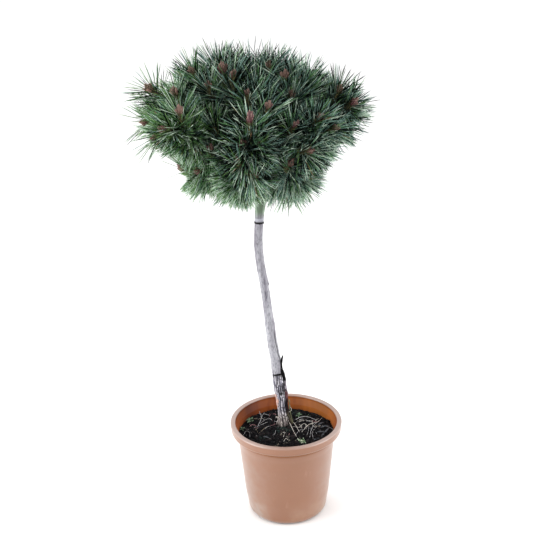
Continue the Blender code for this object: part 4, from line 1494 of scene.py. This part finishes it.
def pot():
    """The pot: its outline turned about Z, a hair out of round, with drain holes cut through."""
    low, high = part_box("pot")
    rim, top = (high[0] - low[0]) / 2, high[2]
    outline = pot_profile(rim, top)
    turn = math.tau * np.arange(POT_STEPS) / POT_STEPS
    oval = 1 + 0.0016 * np.cos(2 * turn + 0.7) + 0.0007 * np.cos(3 * turn)
    share = ease(outline[:, 1], 0.02, 0.20)[:, None]
    radius = outline[:, :1] * (1 + (oval[None] - 1) * share)
    dip = 0.0004 * np.cos(2 * turn + 2.0)[None] * share
    points = polar(radius, turn, outline[:, 1:] + dip)
    lip = ease(outline[:, 1], top - LIP_DEPTH, top - LIP_DEPTH / 2)
    up_inside = len(outline) - INNER_POINTS
    inner = ease(np.arange(len(outline)) * 1.0, up_inside - 1, up_inside) * (1 - lip)
    level = outline[:, 1:] + 0 * turn
    # dust low on the wall, and painted sheen on the left and right flanks
    dust_and_sheen = np.zeros(level.shape)
    for angle, high, wide, tall, thick in DUST_AND_SHEEN:
        dust_and_sheen += thick * bell(apart(turn, math.radians(angle)), math.radians(wide)) * bell(level - high, tall)
    dust_and_sheen *= (0.75 + 0.9 * rough(points, 0.010, 2, 95)).clip(0, 1.4)
    # painted light on the back right of the inside, painted shade on its back left
    painted_light_inside, painted_shade_inside = (bell(turn - math.radians(angle), math.radians(wide)) + 0 * level
                      for angle, wide in INSIDE_PATCHES)
    # painted sheen on the lip, palest towards the left and right where the side lamps fall
    painted_lip_sheen = lip[:, None] * (0.50 + 0.50 * np.abs(np.cos(turn))[None])
    values = {"inner": np.repeat(inner, POT_STEPS), "lip": painted_lip_sheen, "dust_and_sheen": dust_and_sheen.clip(0, 1),
              "painted_light_inside": painted_light_inside, "painted_shade_inside": painted_shade_inside}
    faces = grid_faces(len(outline), POT_STEPS, looped=True)[:, [0, 3, 2, 1]]
    made = piece("pot_shell", points, [faces], pot_finish(), "pot", ["pot"], values=values)
    weld(made.data)
    drill(made, rim)


def drill(made, rim):
    """Cut the drain holes through the pot's floor, and small arches through the ring it stands on."""
    front = on_level(*NOTCH_PLACE, 0.0)
    turns = [math.tau * k / DRAIN_COUNT for k in range(DRAIN_COUNT)]
    cuts = [(Matrix.Translation((DRAIN_RING * math.cos(turn), DRAIN_RING * math.sin(turn), POT_FLOOR / 2)),
             28, DRAIN_RADIUS, 4 * POT_FLOOR) for turn in turns]
    for turn in turns:
        angle = math.atan2(front[1], front[0]) + turn
        way = Vector((math.cos(angle), math.sin(angle), 0.0))
        spot = way * (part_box("pot")[1][0] - NOTCH_IN) + Vector((0.0, 0.0, NOTCH_RISE - NOTCH_RADIUS))
        turned = way.to_track_quat("Z", "Y").to_matrix().to_4x4()
        cuts.append((Matrix.Translation(spot) @ turned, 24, NOTCH_RADIUS, NOTCH_LENGTH))
    work = bmesh.new()
    for place, sides, radius, depth in cuts:
        bmesh.ops.create_cone(work, cap_ends=True, segments=sides, radius1=radius, radius2=radius,
                              depth=depth, matrix=place)
    mesh = bpy.data.meshes.new("drain_cutter")
    work.to_mesh(mesh)
    work.free()
    cutter = linked("drain_cutter", mesh)
    cut = made.modifiers.new("drains", "BOOLEAN")
    cut.object = cutter
    cut.operation = "DIFFERENCE"
    bpy.context.view_layer.update()
    graph = bpy.context.evaluated_depsgraph_get()
    result = bpy.data.meshes.new_from_object(made.evaluated_get(graph))
    made.modifiers.clear()
    made.data = result
    bpy.data.objects.remove(cutter)


# ---- soil and what lies on it ----

def soil_height(x, y):
    """Height of the compost: lumps, a fall towards the wall and a heap against the stem."""
    spot = np.stack([x, y, 0 * x], axis=-1)
    reach = np.hypot(x, y)
    near = np.hypot(x - STEM_LINE[0, 0], y - STEM_LINE[0, 1])
    lumps = SOIL_LUMP * rough(spot, 0.022, 2, 71) + SOIL_CLOD * rough(spot, 0.006, 3, 81)
    fall = SOIL_DROP * np.clip((reach - SOIL_BROW) / (SOIL_REACH - SOIL_BROW), 0, 1)
    lumps = lumps * (1 - 0.5 * ease(reach, 0.095, SOIL_REACH))
    return SOIL_TOP + lumps + HEAP_RISE * bell(near, HEAP_WIDTH) - fall


def laid(x, y, lift=0.0):
    """Points on the compost at x, y, raised by lift."""
    return np.stack([x, y, soil_height(x, y) + lift], axis=-1)


def soil():
    """The compost plug: a lumpy top out to the wall, closed below."""
    low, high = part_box("potting_soil")
    reach = (high[0] - low[0]) / 2
    turn = math.tau * np.arange(SOIL_STEPS) / SOIL_STEPS
    radius = reach * ((np.arange(SOIL_RINGS) / (SOIL_RINGS - 1)) ** 0.85)[:, None] * np.ones(SOIL_STEPS)[None]
    skirt = np.array([(reach, high[2] - 0.012), (reach - 0.0165, 0.055), (reach - 0.0220, low[2] + 0.012),
                      (reach - 0.0385, low[2]), (0.0, low[2])])
    points = np.concatenate([laid(radius * np.cos(turn), radius * np.sin(turn)),
                             polar(skirt[:, :1], turn, skirt[:, 1:])])
    faces = grid_faces(len(points), SOIL_STEPS)[:, ::-1]
    weld(piece("compost", points, [faces], soil_finish(), "soil", ["potting_soil"]).data)


def icosahedron():
    """Twelve unit corners and twenty faces, facing outwards."""
    gold = (1 + math.sqrt(5)) / 2
    points = []
    for a, b in product((-1, 1), (-gold, gold)):
        points += [(0, a, b), (a, b, 0), (b, 0, a)]
    points = unit(np.array(points, dtype=float))
    edge = size_of(points[:, None] - points[None])
    least = np.min(edge[edge > 0.1]) * 1.05
    faces = []
    for i, j, k in combinations(range(12), 3):
        if max(edge[i, j], edge[j, k], edge[i, k]) < least:
            facing = np.cross(points[j] - points[i], points[k] - points[i]) @ points[i]
            faces.append((i, j, k) if facing > 0 else (i, k, j))
    return points, np.array(faces)


GRAIN, GRAIN_FACES = icosahedron()


def scatter_in_pot(count, reach):
    """Places on the compost, even over the disc and clear of the stem."""
    radius = reach * np.sqrt(draw.random(count))
    turn = draw.uniform(0, math.tau, count)
    x, y = radius * np.cos(turn), radius * np.sin(turn)
    clear = np.hypot(x - STEM_LINE[0, 0], y - STEM_LINE[0, 1]) > STEM_CLEAR
    return laid(x[clear], y[clear])


def turns_of(count):
    """Random turns as stacks of three square unit vectors."""
    first = unit(draw.normal(size=(count, 3)))
    second = unit(np.cross(first, draw.normal(size=(count, 3))))
    return np.stack([first, second, np.cross(first, second)], axis=1)


def crumbs():
    """Crumbs and bark chips: dented, flattened icosahedra half sunk in the compost."""
    for name, (colour, share, scale) in CRUMB_KINDS.items():
        spots = scatter_in_pot(int(CRUMBS * share), CRUMB_REACH)
        if name == "crumbs_tan":
            near = on_level(*GRIT_PLACE)[:2] + (spots[:, :2] - spots[:, :2].mean(axis=0)) * 0.30
            spots = laid(near[:, 0], near[:, 1])
        count = len(spots)
        size = scale * draw.gamma(3.0, 0.00055, count) + 0.0006
        stretch = draw.uniform(0.5, 1.3, (count, 1, 3))
        dented = GRAIN[None] * (1 + 0.25 * draw.normal(size=(count, 12, 1)).clip(-1.5, 1.5)) * stretch
        points = np.einsum("nvi,nij->nvj", dented, turns_of(count)) * size[:, None, None]
        points = points + (spots + np.array([0, 0, 0.0006]))[:, None]
        finish = plain_finish(name, colour, 0.9, 0.15)
        piece(name, points, [repeated(GRAIN_FACES, count, 12)], finish, "soil", smooth=False)


def litter():
    """Dead needles on the compost: bent straw-coloured slivers lying every way."""
    t = np.linspace(-0.5, 0.5, 6)[None]
    for name, (colour, share) in LITTER_KINDS.items():
        spots = scatter_in_pot(int(DEAD_NEEDLES * share), DEAD_REACH)
        count = len(spots)
        turn = draw.uniform(0, math.tau, count)[:, None]
        length = draw.uniform(*DEAD_LENGTHS, count)[:, None]
        curl = draw.normal(size=count)[:, None] * 9.0
        heading = turn + curl * length * t
        x = spots[:, :1] + np.cos(heading) * length * t
        y = spots[:, 1:2] + np.sin(heading) * length * t
        inside = np.hypot(x, y).max(axis=1) < LITTER_REACH
        x, y = x[inside], y[inside]
        lift = draw.uniform(0.0008, 0.0032, (len(x), 1)) + 0.002 * draw.random((len(x), 1)) * (t + 0.5)
        radii = DEAD_RADIUS * np.sin(np.pi * np.linspace(0.16, 0.88, 6)) * np.ones((len(x), 1))
        rings = sweep(laid(x, y, lift), radii, 4)
        piece(name, rings, capped_tubes(rings), plain_finish(name, colour, 0.75), "soil")


def strands():
    """Roots, stalks and twigs that lie on the compost in plain sight, and like ones behind."""
    parts = {kind: [] for kind in STRAND_TONES}
    shapes = [(*shape, [on_level(u, v)[:2] for u, v in places]) for *shape, places in STRANDS]
    for k in range(MORE_STRANDS):
        turn = draw.uniform(0.15, 2.99)
        start = np.array([math.cos(turn), math.sin(turn)]) * draw.uniform(0.03, 0.085)
        step = draw.normal(size=(2, 2)) * 0.014
        places = [start, start + step[0], start + step.sum(0)]
        shapes.append((list(STRAND_TONES)[k % 3], draw.uniform(0.0006, 0.0010), 0.003, 0.001, places))
    t = np.linspace(0, 1, STRAND_ROWS)
    for kind, width, mid, end, places in shapes:
        flat = smooth_path(np.array(places), STRAND_ROWS)
        flat = flat * np.minimum(1.0, LITTER_REACH / size_of(flat))[:, None]
        path = laid(flat[:, 0], flat[:, 1], width + mid * np.sin(np.pi * t) * 0.8 + end * t ** 2)
        path[:, 2] = np.convolve(np.pad(path[:, 2], 3, mode="edge"), np.ones(7) / 7, mode="valid")
        radii = width / 2 * (1 - 0.55 * t) * (1 + 0.12 * np.sin(31 * t + 40 * width))
        parts[kind].append(sweep(path, radii * 1.15, 8))
    for kind, rings in parts.items():
        name = f"root_{kind}"
        rings = np.array(rings)
        piece(name, rings, capped_tubes(rings), plain_finish(name, STRAND_TONES[kind], 0.7), "soil")


def leaf_grid(spot, turn, lift, forward, length, width, curl):
    """A pointed leaf: along t and across s, width * sin(pi t**0.8) wide, arching over by curl.

    Its foot is lifted over the compost at a spot and lies forward of it along the leaf.
    """
    t = np.linspace(0, 1, LEAF_ROWS)[:, None]
    s = np.linspace(-1, 1, LEAF_COLUMNS)[None]
    heading = np.array([math.cos(turn), math.sin(turn), 0.0])
    side = np.array([-heading[1], heading[0], 0.0])
    half = width / 2 * np.sin(np.pi * np.clip(t, 0.02, 0.985) ** 0.8)
    foot = laid(*np.array(spot[:2])[:, None], lift)[0] + heading * forward
    points = foot + t[..., None] * heading * length + (s * half)[..., None] * side
    points[..., 2] += curl * length * (t * (1.15 - t))[..., 0][:, None] + 0.25 * half * s ** 2
    return points


def leaf_piece(name, grids, finish, slot):
    """Leaves as one piece, with a little thickness."""
    faces = grid_faces(LEAF_ROWS, LEAF_COLUMNS, closed=False)
    faces = repeated(faces, len(grids), LEAF_ROWS * LEAF_COLUMNS)
    made = piece(name, np.array(grids), [faces], finish, slot)
    made.modifiers.new("leaf_thickness", "SOLIDIFY").thickness = LEAF_THICKNESS


def weeds():
    """Small weed seedlings: rosettes of pointed leaves on the compost."""
    grids = []
    for spot, count, size in [(on_level(*place), *rest) for place, *rest in WEEDS] + [(BACK_WEED, 4, 0.007)]:
        for k in range(count):
            turn = math.tau * k / count + draw.uniform(-0.4, 0.4)
            length = size * draw.uniform(0.7, 1.1)
            grids.append(leaf_grid(spot, turn, 0.0012, 0.0015, length, size * 0.36, draw.uniform(0.3, 0.9)))
    leaf_piece("weed_leaves", grids, plain_finish("weed_green", (84, 106, 80), 0.6), "needles")


def wet_leaves():
    """Dark wet leaves that lie on the compost near the wall, each arching from its stalk."""
    grids = [leaf_grid(on_level(u, v), math.radians(turn), 0.0018, -0.008,
                       0.021 * draw.uniform(0.8, 1.2), 0.0046, 0.25) for u, v, turn in WET_LEAVES]
    leaf_piece("wet_leaves", grids, plain_finish("wet_slate", (34, 39, 48), 0.35, 0.5), "soil")


def weed_stalk():
    """A green stalk with two pale joints that leans on the dead shoot's foot."""
    line, radii = view_line(STALK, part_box("dead_side_shoot")[0][1] - 0.0012, 0.0008)
    rings = sweep(line, radii, 12)
    finish = plain_finish("stalk_green", (92, 94, 68), 0.6)
    piece("weed_stalk", rings, capped_tubes(rings[None]), finish, "needles")


def moss():
    """Moss and liverwort: tight cushions of small domed scales, pale and green in one of them."""
    for name, colour in MOSS_TONES.items():
        if name == "moss_dark":
            near = [(on_level(u, v)[:2], 90, 0.0058) for u, v in MOSS[1:]]
            near += [((0.02, 0.075), 110, 0.009), ((-0.05, -0.03), 60, 0.007)]
        else:
            near = [(on_level(*MOSS[0])[:2], 70, 0.0044)]
        spots = np.concatenate([middle + draw.normal(size=(count, 2)) * wide for middle, count, wide in near])
        count = len(spots)
        centres = laid(spots[:, 0], spots[:, 1], draw.uniform(0.0006, 0.0030, count))
        size = draw.uniform(0.0006, 0.0014, count)
        flat = GRAIN[None] * np.array([1.2, 1.2, 0.6]) * (1 + 0.2 * draw.normal(size=(count, 12, 1)))
        points = flat * size[:, None, None] + centres[:, None]
        piece(name, points, [repeated(GRAIN_FACES, count, 12)], plain_finish(name, colour, 0.85), "soil")


# ---- the whole ----

place_camera()
studio()
stem()
dead_shoot()
ties()
crown(boughs())
pot()
soil()
crumbs()
litter()
strands()
weeds()
wet_leaves()
weed_stalk()
moss()

bpy.context.view_layer.update()
